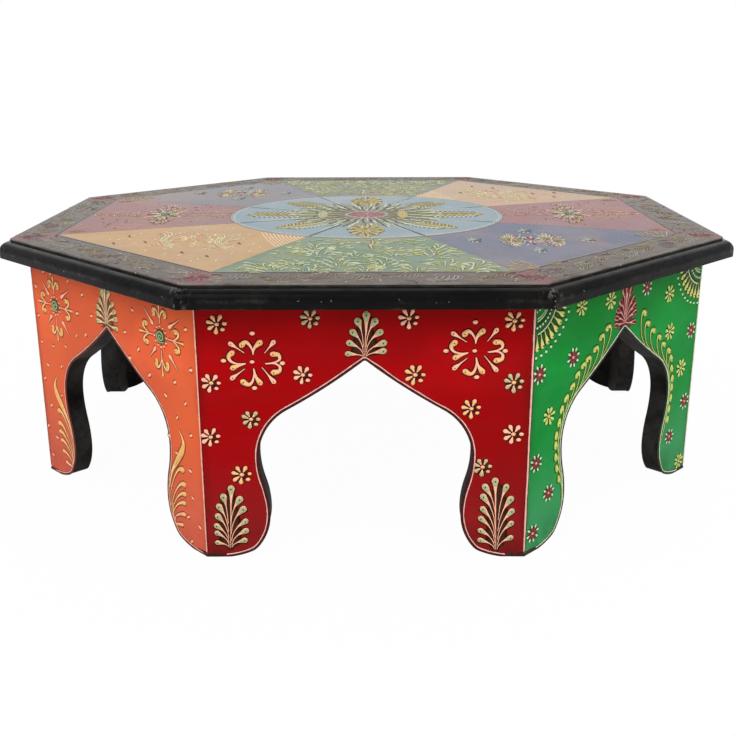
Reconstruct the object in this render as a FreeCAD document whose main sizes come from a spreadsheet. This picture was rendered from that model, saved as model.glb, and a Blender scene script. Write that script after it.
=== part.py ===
import FreeCAD, Part
import math
import os
import Sketcher

# A low octagonal table of painted boards: a top board with mitred edge mouldings, on a
# ring of mitred side panels, each cut to an ogee arch between two bulging feet.
# Millimetres, +Z up, the floor at z = 0 under the middle of the table, front side at -Y.

doc = FreeCAD.newDocument("low_table")

# Driving sizes
DRIVING_SIZES = {
    # the whole table
    "side_count": 8,
    "across_flats": 450,
    "overall_height": 155,
    "top_thickness": 12,
    "side_thickness": 12,
    # how far the nose of the edge moulding stands out past a side panel
    "top_overhang": 16,
    # rounding along the rim of the top board
    "eased_edge": 0.8,
    # edge moulding: a flat quirk below the top, then a quarter round and a plain face
    "edge_width": 6.4,
    "edge_drop": 2.2,
    "ovolo_radius": 5.6,
    # arch of a side panel: wood above the tip, and the radii of the two ogee curves
    "rail_depth": 30,
    "ogee_radius": 300,
    "shoulder_radius": 31,
    # from the waist of the leg, where the arch is widest, up to the tip of the arch
    "arch_rise": 54.5,
    # leg at its waist, and foot at its widest, measured in from the corner of the table
    "leg_width": 29.8,
    "foot_width": 35,
    "bulge_height": 25.5,
    # curves that round the foot under, and the flat that stands on the floor
    "foot_radius": 30,
    "toe_radius": 9,
    "sole_radius": 46,
    "sole_flat": 6.5,
    # glue block in each corner under the top, and its screw
    "block_height": 30,
    "block_leg": 25,
    "block_side": 10,
    "screw_length": 38,
    "screw_diameter": 4,
    "screw_head_diameter": 7.6,
    "screw_head_sunk": 0.6,
    "screw_point": 5,
    "screw_hole_run_out": 0.8,
    # how far a cut runs past the wood
    "overrun": 5,
}

# Sizes worked out from the driving ones
DERIVED_SIZES = {
    "half_turn": "180 / Sizes.side_count",
    "nose_apothem": "Sizes.across_flats / 2",
    "nose_half_side": "Derived.nose_apothem * tan(Derived.half_turn)",
    "top_apothem": "Derived.nose_apothem - Sizes.edge_width",
    "top_half_side": "Derived.top_apothem * tan(Derived.half_turn)",
    "mitre_out_apothem": "Derived.nose_apothem + Sizes.overrun",
    "mitre_out_half": "Derived.mitre_out_apothem * tan(Derived.half_turn)",
    "mitre_in_apothem": "Derived.top_apothem - Sizes.overrun",
    "mitre_in_half": "Derived.mitre_in_apothem * tan(Derived.half_turn)",
    "mitre_cut": "Sizes.overall_height + Sizes.overrun",
    "side_apothem": "Derived.nose_apothem - Sizes.top_overhang",
    "side_half_width": "Derived.side_apothem * tan(Derived.half_turn)",
    "inner_apothem": "Derived.side_apothem - Sizes.side_thickness",
    "inner_half_width": "Derived.inner_apothem * tan(Derived.half_turn)",
    "side_height": "Sizes.overall_height - Sizes.top_thickness",
    "edge_height": "Sizes.overall_height - Sizes.edge_drop",
    "ovolo_start": "Derived.nose_apothem - Sizes.ovolo_radius",
    "ovolo_foot": "Derived.edge_height - Sizes.ovolo_radius",
    "arch_cut_start": "Derived.inner_apothem - Sizes.overrun",
    "arch_cut": "Sizes.side_thickness + 2 * Sizes.overrun",
    "arch_tip_height": "Derived.side_height - Sizes.rail_depth",
    "waist_height": "Derived.arch_tip_height - Sizes.arch_rise",
    "waist_half_width": "Derived.side_half_width - Sizes.leg_width",
    "bulge_half_width": "Derived.side_half_width - Sizes.foot_width",
    "sole_half_width": "Derived.side_half_width - Sizes.sole_flat",
    "block_foot": "Derived.side_height - Sizes.block_height",
    "corner_radius": "Derived.inner_apothem / cos(Derived.half_turn)",
    "block_leg_reach": "Derived.corner_radius - Sizes.block_leg * sin(Derived.half_turn)",
    "block_leg_half": "Sizes.block_leg * cos(Derived.half_turn)",
    "block_face_reach": "Derived.block_leg_reach - Sizes.block_side * cos(Derived.half_turn)",
    "block_face_half": "Derived.block_leg_half - Sizes.block_side * sin(Derived.half_turn)",
    "screw_reach": "(Derived.corner_radius + Derived.block_face_reach) / 2",
    "screw_across": "Derived.screw_reach * sin(Derived.half_turn)",
    "screw_forward": "Derived.screw_reach * cos(Derived.half_turn)",
    "screw_foot": "Derived.block_foot + Sizes.screw_head_sunk",
    "screw_tip_height": "Derived.screw_foot + Sizes.screw_length",
    "screw_head_depth": "(Sizes.screw_head_diameter - Sizes.screw_diameter) / 2",
    "screw_head_top": "Derived.screw_foot + Derived.screw_head_depth",
    "screw_point_start": "Derived.screw_tip_height - Sizes.screw_point",
    "screw_shank_reach": "Derived.screw_reach + Sizes.screw_diameter / 2",
    "screw_head_reach": "Derived.screw_reach + Sizes.screw_head_diameter / 2",
    "screw_recess": "Derived.screw_head_depth + Sizes.screw_head_sunk",
    "screw_hole_depth": "Derived.screw_tip_height + Sizes.screw_hole_run_out - Derived.side_height",
}

# How a sketch counts the points of a line or arc, and its own two axes
START, END, CENTRE = range(1, 4)
HORIZONTAL_AXIS, VERTICAL_AXIS = range(-1, -3, -1)
ORIGIN_POINT = (HORIZONTAL_AXIS, START)


def fill_sheet():
    sheet = doc.addObject("Spreadsheet::Sheet", "Sizes")
    for row, (name, number) in enumerate(DRIVING_SIZES.items(), start=1):
        sheet.set(f"A{row}", name)
        sheet.set(f"B{row}", str(number))
        sheet.setAlias(f"B{row}", name)
    doc.recompute()
    return sheet


def fill_derived():
    derived = doc.addObject("App::VarSet", "Derived")
    for name, formula in DERIVED_SIZES.items():
        derived.addProperty("App::PropertyFloat", name)
        derived.setExpression(name, formula)
        doc.recompute()
    return derived


sizes = fill_sheet()
derived = fill_derived()
side_count = int(sizes.get("side_count"))
turn_between_sides = 360 / side_count


def formula(name):
    home = "Sizes" if name in DRIVING_SIZES else "Derived"
    return f"{home}.{name}"


def number(name):
    if name in DRIVING_SIZES:
        return float(sizes.get(name))
    return float(getattr(derived, name))


# A term is a sign and a size's name; it gives both a number and a bound formula
def term_number(term):
    sign, name = term
    return sign * number(name)


def term_formula(term):
    sign, name = term
    return f"{sign} * {formula(name)}"


def origin_plane(body, role):
    return next(plane for plane in body.Origin.OriginFeatures if plane.Role == role)


def add_body(label, turn=0):
    body = doc.addObject("PartDesign::Body", label)
    body.Label = label
    body.Placement.Rotation = FreeCAD.Rotation(FreeCAD.Vector(0, 0, 1), turn)
    return body


def add_sketch(body, name, role, height=None):
    sketch = body.newObject("Sketcher::SketchObject", f"{body.Name}_{name}")
    sketch.AttachmentSupport = [(origin_plane(body, role), "")]
    sketch.MapMode = "FlatFace"
    if height:
        sketch.setExpression(".AttachmentOffset.Base.z", height)
    return sketch


def bind(sketch, kind, elements, bound_formula, start):
    index = sketch.addConstraint(Sketcher.Constraint(kind, *elements, start))
    sketch.setExpression(f"Constraints[{index}]", bound_formula)


# Ties one point of the sketch to a pair of terms; None keeps it on that axis
def place_point(sketch, point, across, up):
    if across is None:
        sketch.addConstraint(Sketcher.Constraint("PointOnObject", *point, VERTICAL_AXIS))
    else:
        bind(sketch, "DistanceX", (*ORIGIN_POINT, *point), term_formula(across), term_number(across))
    if up is None:
        sketch.addConstraint(Sketcher.Constraint("PointOnObject", *point, HORIZONTAL_AXIS))
    else:
        bind(sketch, "DistanceY", (*ORIGIN_POINT, *point), term_formula(up), term_number(up))


def point_vector(across, up):
    x = term_number(across) if across else 0
    y = term_number(up) if up else 0
    return FreeCAD.Vector(x, y, 0)


# Closed outline of straight lines through points that are pairs of terms
def draw_polygon(sketch, points):
    corners = [point_vector(*point) for point in points]
    lines = []
    for here, there in zip(corners, corners[1:] + corners[:1]):
        lines.append(sketch.addGeometry(Part.LineSegment(here, there), False))
    for before, after in zip(lines, lines[1:] + lines[:1]):
        sketch.addConstraint(Sketcher.Constraint("Coincident", before, END, after, START))
    for line, point in zip(lines, points):
        place_point(sketch, (line, START), *point)
    return lines


def draw_circle(sketch, centre, diameter):
    place = point_vector(*centre)
    normal = FreeCAD.Vector(0, 0, 1)
    circle = sketch.addGeometry(Part.Circle(place, normal, number(diameter) / 2), False)
    place_point(sketch, (circle, CENTRE), *centre)
    bind(sketch, "Diameter", (circle,), formula(diameter), number(diameter))
    return circle


def add_pad(body, sketch, length, symmetric=False):
    pad = body.newObject("PartDesign::Pad", f"{sketch.Name}_pad")
    pad.Profile = sketch
    pad.Midplane = symmetric
    pad.setExpression("Length", length)
    body.Tip = pad
    return pad


def add_pocket(body, sketch, depth, reverse=False, symmetric=False):
    pocket = body.newObject("PartDesign::Pocket", f"{sketch.Name}_pocket")
    pocket.Profile = sketch
    pocket.Reversed = reverse
    pocket.Midplane = symmetric
    pocket.setExpression("Length", depth)
    body.Tip = pocket
    return pocket


def add_polar_pattern(body, feature):
    pattern = body.newObject("PartDesign::PolarPattern", f"{feature.Name}_ring")
    pattern.Originals = [feature]
    pattern.Axis = (origin_axis(body, "Z_Axis"), [""])
    pattern.Angle = 360
    pattern.setExpression("Occurrences", formula("side_count"))
    body.Tip = pattern
    return pattern


def origin_axis(body, role):
    return next(axis for axis in body.Origin.OriginFeatures if axis.Role == role)


def edge_names(shape, wanted):
    return [f"Edge{index}" for index, edge in enumerate(shape.Edges, start=1) if wanted(edge)]


def lies_at_height(edge, height):
    return all(abs(vertex.Z - height) < Part.Precision.confusion() for vertex in edge.Vertexes)


def add_fillet(body, feature, edges):
    fillet = body.newObject("PartDesign::Fillet", f"{body.Name}_eased")
    fillet.Base = (feature, edges)
    fillet.setExpression("Radius", formula("eased_edge"))
    body.Tip = fillet
    return fillet


# Regular outline whose first side lies square across the front
def draw_regular_outline(sketch, half_side, apothem):
    first_corner = point_vector((-1, half_side), (-1, apothem))
    start_angle = math.atan2(first_corner.y, first_corner.x)
    corners = []
    for index in range(side_count):
        angle = start_angle + math.radians(index * turn_between_sides)
        direction = FreeCAD.Vector(math.cos(angle), math.sin(angle), 0)
        corners.append(direction * first_corner.Length)
    circle = Part.Circle(FreeCAD.Vector(0, 0, 0), FreeCAD.Vector(0, 0, 1), first_corner.Length)
    ring = sketch.addGeometry(circle, True)
    sketch.addConstraint(Sketcher.Constraint("Coincident", ring, CENTRE, *ORIGIN_POINT))
    lines = []
    for here, there in zip(corners, corners[1:] + corners[:1]):
        lines.append(sketch.addGeometry(Part.LineSegment(here, there), False))
    for before, after in zip(lines, lines[1:] + lines[:1]):
        sketch.addConstraint(Sketcher.Constraint("Coincident", before, END, after, START))
    for line in lines[1:]:
        sketch.addConstraint(Sketcher.Constraint("PointOnObject", line, START, ring))
        sketch.addConstraint(Sketcher.Constraint("Equal", lines[0], line))
    place_point(sketch, (lines[0], START), (-1, half_side), (-1, apothem))
    sketch.addConstraint(Sketcher.Constraint("PointOnObject", lines[0], START, ring))


def make_top_board():
    body = add_body("top_board")
    outline = add_sketch(body, "outline", "XY_Plane", formula("side_height"))
    draw_regular_outline(outline, "top_half_side", "top_apothem")
    board = add_pad(body, outline, formula("top_thickness"))
    screw_hole = add_sketch(body, "screw_hole", "XY_Plane", formula("side_height"))
    draw_circle(screw_hole, ((1, "screw_across"), (-1, "screw_forward")), "screw_diameter")
    drilled = add_pocket(body, screw_hole, formula("screw_hole_depth"), reverse=True)
    ring = add_polar_pattern(body, drilled)
    doc.recompute()
    rim = edge_names(ring.Shape, lambda edge: lies_at_height(edge, number("overall_height")))
    add_fillet(body, ring, rim)
    return body


# Profile in the YZ plane: back against the board, quirk, quarter round, plain face
def draw_moulding_profile(sketch):
    back_foot = point_vector((-1, "top_apothem"), (1, "side_height"))
    back_top = point_vector((-1, "top_apothem"), (1, "edge_height"))
    round_top = point_vector((-1, "ovolo_start"), (1, "edge_height"))
    round_foot = point_vector((-1, "nose_apothem"), (1, "ovolo_foot"))
    nose_foot = point_vector((-1, "nose_apothem"), (1, "side_height"))
    centre = point_vector((-1, "ovolo_start"), (1, "ovolo_foot"))
    circle = Part.Circle(centre, FreeCAD.Vector(0, 0, 1), number("ovolo_radius"))
    quarter = Part.ArcOfCircle(circle, math.radians(90), math.radians(180))
    underside = sketch.addGeometry(Part.LineSegment(nose_foot, back_foot), False)
    back = sketch.addGeometry(Part.LineSegment(back_foot, back_top), False)
    quirk = sketch.addGeometry(Part.LineSegment(back_top, round_top), False)
    ovolo = sketch.addGeometry(quarter, False)
    face = sketch.addGeometry(Part.LineSegment(round_foot, nose_foot), False)
    joints = (
        (underside, END, back, START),
        (back, END, quirk, START),
        (quirk, END, ovolo, START),
        (ovolo, END, face, START),
        (face, END, underside, START),
    )
    for joint in joints:
        sketch.addConstraint(Sketcher.Constraint("Coincident", *joint))
    place_point(sketch, (back, START), (-1, "top_apothem"), (1, "side_height"))
    place_point(sketch, (back, END), (-1, "top_apothem"), (1, "edge_height"))
    place_point(sketch, (ovolo, START), (-1, "ovolo_start"), (1, "edge_height"))
    place_point(sketch, (ovolo, END), (-1, "nose_apothem"), (1, "ovolo_foot"))
    place_point(sketch, (face, END), (-1, "nose_apothem"), (1, "side_height"))
    bind(sketch, "Radius", (ovolo,), formula("ovolo_radius"), number("ovolo_radius"))


def draw_mitre_cut(sketch, side):
    points = (
        ((side, "mitre_in_half"), (-1, "mitre_in_apothem")),
        ((side, "mitre_out_half"), (-1, "mitre_out_apothem")),
        ((side, "mitre_out_half"), (-1, "mitre_in_apothem")),
    )
    draw_polygon(sketch, points)


def make_edge_moulding(place):
    body = add_body(f"edge_moulding_{place + 1}", place * turn_between_sides)
    profile = add_sketch(body, "profile", "YZ_Plane")
    draw_moulding_profile(profile)
    add_pad(body, profile, f"2 * {formula('nose_half_side')}", symmetric=True)
    mitres = add_sketch(body, "mitres", "XY_Plane")
    draw_mitre_cut(mitres, -1)
    draw_mitre_cut(mitres, 1)
    add_pocket(body, mitres, formula("mitre_cut"), reverse=True)
    return body


# Where two circles cross, taking the crossing on the wanted side (+1 is to the right)
def circles_cross(first, first_radius, second, second_radius, side):
    between = second - first
    distance = between.Length
    along = (first_radius ** 2 - second_radius ** 2 + distance ** 2) / (2 * distance)
    aside = math.sqrt(first_radius ** 2 - along ** 2)
    direction = between / distance
    normal = FreeCAD.Vector(-direction.y, direction.x, 0)
    crossings = [first + direction * along + normal * aside * way for way in (-1, 1)]
    return max(crossings, key=lambda crossing: crossing.x * side)


# Arc about a centre, run anticlockwise from one point to another
def arc_through(centre, begin, end):
    circle = Part.Circle(centre, FreeCAD.Vector(0, 0, 1), (begin - centre).Length)
    start_angle = math.atan2(begin.y - centre.y, begin.x - centre.x)
    end_angle = math.atan2(end.y - centre.y, end.x - centre.x)
    if end_angle < start_angle:
        end_angle += math.tau
    return Part.ArcOfCircle(circle, start_angle, end_angle)


# Right half of the arch, from its tip down the ogee, round the leg's waist and the
# foot's bulge, and under the toe to the flat that stands on the floor
def arch_arcs():
    tip = point_vector(None, (1, "arch_tip_height"))
    waist = point_vector((1, "waist_half_width"), (1, "waist_height"))
    bulge = point_vector((1, "bulge_half_width"), (1, "bulge_height"))
    floor_point = point_vector((1, "sole_half_width"), None)
    ogee_radius = number("ogee_radius")
    shoulder_radius = number("shoulder_radius")
    foot_radius = number("foot_radius")
    toe_radius = number("toe_radius")
    sole_radius = number("sole_radius")
    shoulder_centre = waist - FreeCAD.Vector(shoulder_radius, 0, 0)
    reach = ogee_radius + shoulder_radius
    ogee_centre = circles_cross(tip, ogee_radius, shoulder_centre, reach, 1)
    shoulder_share = shoulder_radius / reach
    shoulder_top = shoulder_centre + (ogee_centre - shoulder_centre) * shoulder_share
    slant = bulge - waist
    leg_turn = 2 * math.atan2(-slant.x, -slant.y)
    leg_radius = -slant.y / (2 * math.sin(leg_turn))
    knee_centre = waist - FreeCAD.Vector(leg_radius, 0, 0)
    ankle_centre = bulge + FreeCAD.Vector(leg_radius, 0, 0)
    shin = (waist + bulge) / 2
    foot_centre = bulge + FreeCAD.Vector(foot_radius, 0, 0)
    sole_centre = floor_point + FreeCAD.Vector(0, sole_radius, 0)
    inner_reach = foot_radius - toe_radius
    toe_centre = circles_cross(foot_centre, inner_reach, sole_centre, sole_radius - toe_radius, -1)
    toe_start = foot_centre + (toe_centre - foot_centre) * (foot_radius / inner_reach)
    sole_stretch = sole_radius / (sole_radius - toe_radius)
    toe_end = sole_centre + (toe_centre - sole_centre) * sole_stretch
    return (
        arc_through(ogee_centre, tip, shoulder_top),
        arc_through(shoulder_centre, waist, shoulder_top),
        arc_through(knee_centre, shin, waist),
        arc_through(ankle_centre, shin, bulge),
        arc_through(foot_centre, bulge, toe_start),
        arc_through(toe_centre, toe_start, toe_end),
        arc_through(sole_centre, toe_end, floor_point),
    )


def draw_half_arch(sketch):
    ogee, shoulder, knee, ankle, foot, toe, sole = (
        sketch.addGeometry(arc, False) for arc in arch_arcs()
    )
    smooth_joints = (
        (ogee, END, shoulder, END),
        (shoulder, START, knee, END),
        (knee, START, ankle, START),
        (ankle, END, foot, START),
        (foot, END, toe, START),
        (toe, END, sole, START),
    )
    for joint in smooth_joints:
        sketch.addConstraint(Sketcher.Constraint("Tangent", *joint))
    place_point(sketch, (ogee, START), None, (1, "arch_tip_height"))
    place_point(sketch, (shoulder, START), (1, "waist_half_width"), (1, "waist_height"))
    place_point(sketch, (foot, START), (1, "bulge_half_width"), (1, "bulge_height"))
    place_point(sketch, (sole, END), (1, "sole_half_width"), None)
    for arc, end in ((shoulder, START), (foot, START)):
        sketch.addConstraint(Sketcher.Constraint("Horizontal", arc, CENTRE, arc, end))
    sketch.addConstraint(Sketcher.Constraint("Vertical", sole, CENTRE, sole, END))
    sketch.addConstraint(Sketcher.Constraint("Equal", knee, ankle))
    radii = {
        ogee: "ogee_radius",
        shoulder: "shoulder_radius",
        foot: "foot_radius",
        toe: "toe_radius",
        sole: "sole_radius",
    }
    for arc, radius in radii.items():
        bind(sketch, "Radius", (arc,), formula(radius), number(radius))
    close_below_floor(sketch, ogee, sole)


def close_below_floor(sketch, ogee, sole):
    tip = point_vector(None, (1, "arch_tip_height"))
    floor_point = point_vector((1, "sole_half_width"), None)
    below_foot = point_vector((1, "sole_half_width"), (-1, "overrun"))
    below_middle = point_vector(None, (-1, "overrun"))
    down = sketch.addGeometry(Part.LineSegment(floor_point, below_foot), False)
    across = sketch.addGeometry(Part.LineSegment(below_foot, below_middle), False)
    up = sketch.addGeometry(Part.LineSegment(below_middle, tip), False)
    corners = (
        (sole, END, down, START),
        (down, END, across, START),
        (across, END, up, START),
        (up, END, ogee, START),
    )
    for corner in corners:
        sketch.addConstraint(Sketcher.Constraint("Coincident", *corner))
    place_point(sketch, (across, START), (1, "sole_half_width"), (-1, "overrun"))
    place_point(sketch, (across, END), None, (-1, "overrun"))


def make_side_panel(place):
    body = add_body(f"side_panel_{place + 1}", place * turn_between_sides)
    plan = add_sketch(body, "plan", "XY_Plane")
    corners = (
        ((-1, "side_half_width"), (-1, "side_apothem")),
        ((1, "side_half_width"), (-1, "side_apothem")),
        ((1, "inner_half_width"), (-1, "inner_apothem")),
        ((-1, "inner_half_width"), (-1, "inner_apothem")),
    )
    draw_polygon(plan, corners)
    add_pad(body, plan, formula("side_height"))
    arch = add_sketch(body, "arch", "XZ_Plane", formula("arch_cut_start"))
    draw_half_arch(arch)
    half_cut = add_pocket(body, arch, formula("arch_cut"), reverse=True)
    whole_cut = body.newObject("PartDesign::Mirrored", f"{body.Name}_arch_mirrored")
    whole_cut.Originals = [half_cut]
    whole_cut.MirrorPlane = (origin_plane(body, "YZ_Plane"), [""])
    body.Tip = whole_cut
    return body


def make_corner_block(place):
    turn = (place + 0.5) * turn_between_sides - 90
    body = add_body(f"corner_block_{place + 1}", turn)
    plan = add_sketch(body, "plan", "XY_Plane", formula("block_foot"))
    corners = (
        ((1, "corner_radius"), None),
        ((1, "block_leg_reach"), (1, "block_leg_half")),
        ((1, "block_face_reach"), (1, "block_face_half")),
        ((1, "block_face_reach"), (-1, "block_face_half")),
        ((1, "block_leg_reach"), (-1, "block_leg_half")),
    )
    draw_polygon(plan, corners)
    add_pad(body, plan, formula("block_height"))
    hole = add_sketch(body, "hole", "XY_Plane", formula("block_foot"))
    draw_circle(hole, ((1, "screw_reach"), None), "screw_diameter")
    bore = add_pocket(body, hole, formula("block_height"), reverse=True)
    doc.recompute()
    foot = number("block_foot")
    rim = edge_names(
        bore.Shape,
        lambda edge: isinstance(edge.Curve, Part.Circle) and lies_at_height(edge, foot),
    )
    recess = body.newObject("PartDesign::Chamfer", f"{body.Name}_recess")
    recess.Base = (bore, rim)
    recess.setExpression("Size", formula("screw_recess"))
    body.Tip = recess
    return body


def make_block_screws():
    body = add_body("block_screws", turn_between_sides / 2 - 90)
    half = add_sketch(body, "half", "XZ_Plane")
    points = (
        ((1, "screw_reach"), (1, "screw_foot")),
        ((1, "screw_head_reach"), (1, "screw_foot")),
        ((1, "screw_shank_reach"), (1, "screw_head_top")),
        ((1, "screw_shank_reach"), (1, "screw_point_start")),
        ((1, "screw_reach"), (1, "screw_tip_height")),
    )
    draw_polygon(half, points)
    axis = Part.LineSegment(point_vector(*points[0]), point_vector(*points[-1]))
    centre_line = half.addGeometry(axis, True)
    place_point(half, (centre_line, START), *points[0])
    place_point(half, (centre_line, END), *points[-1])
    screw = body.newObject("PartDesign::Revolution", "screw")
    screw.Profile = half
    screw.ReferenceAxis = (half, ["Axis0"])
    screw.Angle = 360
    body.Tip = screw
    add_polar_pattern(body, screw)
    return body


def write_part(body):
    problems = [state for state in body.State if state in ("Invalid", "Error")]
    for feature in body.Group:
        problems += [state for state in feature.State if state in ("Invalid", "Error")]
    if problems or body.Shape.isNull() or not body.Shape.isValid():
        raise RuntimeError(f"{body.Label} did not build: {problems}")
    body.Shape.exportStep(os.path.join("parts", f"{body.Label}.step"))
    print(body.Label, len(body.Shape.Solids), round(body.Shape.Volume, 1))


places = range(side_count)
bodies = [make_top_board()]
bodies += [make_edge_moulding(place) for place in places]
bodies += [make_side_panel(place) for place in places]
bodies += [make_corner_block(place) for place in places]
bodies.append(make_block_screws())
doc.recompute()
os.makedirs("parts", exist_ok=True)
for body in bodies:
    write_part(body)
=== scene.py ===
import math
import random
from collections import namedtuple

import bmesh
import bpy
from mathutils import Matrix, Vector


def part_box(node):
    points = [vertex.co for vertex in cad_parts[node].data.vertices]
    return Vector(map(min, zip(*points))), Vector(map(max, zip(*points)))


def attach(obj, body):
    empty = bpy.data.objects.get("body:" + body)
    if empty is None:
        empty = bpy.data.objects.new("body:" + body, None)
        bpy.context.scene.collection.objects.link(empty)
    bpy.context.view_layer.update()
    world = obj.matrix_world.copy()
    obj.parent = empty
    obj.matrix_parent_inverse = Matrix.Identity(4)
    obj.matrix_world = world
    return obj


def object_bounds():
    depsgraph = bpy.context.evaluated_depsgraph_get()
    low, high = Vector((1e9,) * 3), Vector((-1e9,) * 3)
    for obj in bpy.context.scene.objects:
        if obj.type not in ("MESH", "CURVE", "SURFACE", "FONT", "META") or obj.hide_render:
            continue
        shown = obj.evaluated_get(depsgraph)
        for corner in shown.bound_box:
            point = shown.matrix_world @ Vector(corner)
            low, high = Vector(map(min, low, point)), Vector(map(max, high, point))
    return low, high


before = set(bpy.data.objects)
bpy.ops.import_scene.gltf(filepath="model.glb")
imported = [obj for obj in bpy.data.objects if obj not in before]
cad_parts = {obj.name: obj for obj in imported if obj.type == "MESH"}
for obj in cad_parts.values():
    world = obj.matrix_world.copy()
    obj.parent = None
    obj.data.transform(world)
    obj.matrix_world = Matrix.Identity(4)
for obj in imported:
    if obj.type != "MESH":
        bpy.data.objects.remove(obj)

# Every object here is in metres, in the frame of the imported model: X to the right, Y to the back,
# Z up, the floor at Z = 0. The painted work is drawn in millimetres on the face that carries it.
cad_low, cad_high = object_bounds()
panel_low, panel_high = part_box("side_panel_1")
moulding_low, moulding_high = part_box("edge_moulding_1")
board_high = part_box("top_board")[1]

MM = 0.001
SIDES = 8
EIGHTH = math.tau / SIDES
STEP = 360 / SIDES
UP = (0, 0, 1)

PLAIN_FACE = 0.0042
# Metres: the panels' faces, the rim and top of the board, and the nose of the moulding, where its
# plain face ends and its quarter round starts
FACE_OUT = -panel_low.y
RIM_OUT = board_high.y
TABLE_HEIGHT = board_high.z
NOSE_OUT = -cad_low.y
NOSE_HEIGHT = moulding_low.z + PLAIN_FACE
# Millimetres: a panel's size, and the board's red heart, blue circle and the edge of its fields
HALF_WIDTH = panel_high.x / MM
PANEL_HEIGHT = panel_high.z / MM
MEDALLION = 13.5
CIRCLE = 94
FIELD_EDGE = 193

PLACE_NAMES = ("front", "front_right", "right", "back_right",
               "back", "back_left", "left", "front_left")


def srgb(red, green, blue):
    """A colour as a screen shows it, turned into the shader's linear numbers."""
    def linear(step):
        share = step / 255
        return share / 12.92 if share <= 0.04045 else ((share + 0.055) / 1.055) ** 2.4
    return linear(red), linear(green), linear(blue), 1.0


def facing(place):
    """The way out of the panel at that place, 0 being the front and the rest following to the
    right. Two places on is the way along the panel, and half a place on is over a corner."""
    angle = place * EIGHTH
    return Vector((math.sin(angle), -math.cos(angle), 0))


# ---------------------------------------------------------------- finishes


class Wiring:
    """Makes the nodes of one tree and joins them."""

    def __init__(self, tree):
        self.tree = tree

    def plug(self, socket, value):
        """Links a node's output to the socket, or sets a plain value on it."""
        if isinstance(value, bpy.types.NodeSocket):
            self.tree.links.new(value, socket)
        else:
            socket.default_value = value

    def make(self, kind, inputs, output=0, **settings):
        """An output of a new node that has these settings and inputs."""
        node = self.tree.nodes.new(kind)
        for name, value in settings.items():
            setattr(node, name, value)
        for name, value in inputs.items():
            self.plug(node.inputs[name], value)
        return node.outputs[output]

    def sum(self, operation, *values):
        return self.make("ShaderNodeMath", dict(enumerate(values)), operation=operation)


class Finish(Wiring):
    """A material. A value given to a call is a number, a colour or a node's output."""

    def __init__(self, name):
        self.material = bpy.data.materials.new(name)
        self.material.use_nodes = True
        super().__init__(self.material.node_tree)
        self.shader = self.tree.nodes["Principled BSDF"]
        self.place = self.make("ShaderNodeTexCoord", {}, "Object")

    def times(self, one, other):
        return self.sum("MULTIPLY", one, other)

    def scaled(self, value, factor, base):
        return self.sum("MULTIPLY_ADD", value, factor, base)

    def along(self, direction):
        """How far a point lies along a direction from the middle of the table."""
        return self.make("ShaderNodeVectorMath", {0: self.place, 1: direction}, "Value",
                         operation="DOT_PRODUCT")

    def fade(self, value, low, high):
        """Nothing at low, all at high, and smooth between the two."""
        return self.make("ShaderNodeMapRange", {"Value": value, "From Min": low, "From Max": high},
                         interpolation_type="SMOOTHSTEP")

    def mix(self, share, first, second, blend="MIX"):
        return self.make("ShaderNodeMix", {0: share, 6: first, 7: second}, 2, data_type="RGBA",
                         blend_type=blend)

    def washed(self, colour, *layers):
        """The colour under thin layers, each a tone, where it lies and how strong it is."""
        for tone, share, strength in layers:
            colour = self.mix(self.times(share, strength), colour, tone)
        return colour

    def stretched(self, stretch, turn=0):
        return self.make("ShaderNodeMapping", {"Vector": self.place, "Rotation": (0, 0, turn),
                                               "Scale": stretch})

    def noise(self, scale, detail=3, roughness=0.55, place=None):
        return self.make("ShaderNodeTexNoise", {"Vector": place or self.place, "Scale": scale,
                                                "Detail": detail, "Roughness": roughness})

    def ramp(self, value, stops):
        """Plain bands of colour, each from its stop on."""
        made = self.make("ShaderNodeValToRGB", {"Fac": value})
        made.node.color_ramp.interpolation = "CONSTANT"
        elements = made.node.color_ramp.elements
        while len(elements) < len(stops):
            elements.new(1.0)
        for element, (position, colour) in zip(elements, stops):
            element.position, element.color = position, colour
        return made

    def done(self, colour, roughness, gloss=0.5, metal=0, bump=None, depth=0):
        """The finished material, with a bump of that depth in metres where there is one."""
        values = {"Base Color": colour, "Roughness": roughness, "Specular IOR Level": gloss,
                  "Metallic": metal}
        if bump:
            values["Normal"] = self.make("ShaderNodeBump", {"Strength": 1, "Distance": depth,
                                                            "Height": bump})
        for name, value in values.items():
            self.plug(self.shader.inputs[name], value)
        return self.material


BLACK = srgb(13, 12, 12)
DUST = srgb(120, 116, 110)
CHIP = srgb(206, 200, 190)


def over_sides(paint, operation, first):
    """The largest or smallest of a point's distances along four ways an eighth of a turn apart:
    how far out it lies towards the nearest side, or how far it is from the nearest mitre."""
    chosen = None
    for place in range(SIDES // 2):
        far = paint.sum("ABSOLUTE", paint.along(facing(place + first)))
        chosen = paint.sum(operation, chosen, far) if chosen else far
    return chosen


def octagon_reach(paint):
    return over_sides(paint, "MAXIMUM", 0)


def mitre_distance(paint):
    return over_sides(paint, "MINIMUM", 2.5)


def inner_black(paint):
    """Thin black paint with a little dust and rubbed places."""
    speck = paint.make("ShaderNodeTexVoronoi", {"Vector": paint.place, "Scale": 90})
    return paint.washed(BLACK, (DUST, paint.fade(paint.noise(60, 5, 0.65), 0.25, 0.80), 0.21),
                        (DUST, paint.fade(speck, 0.080, 0.048), 0.3))


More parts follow.
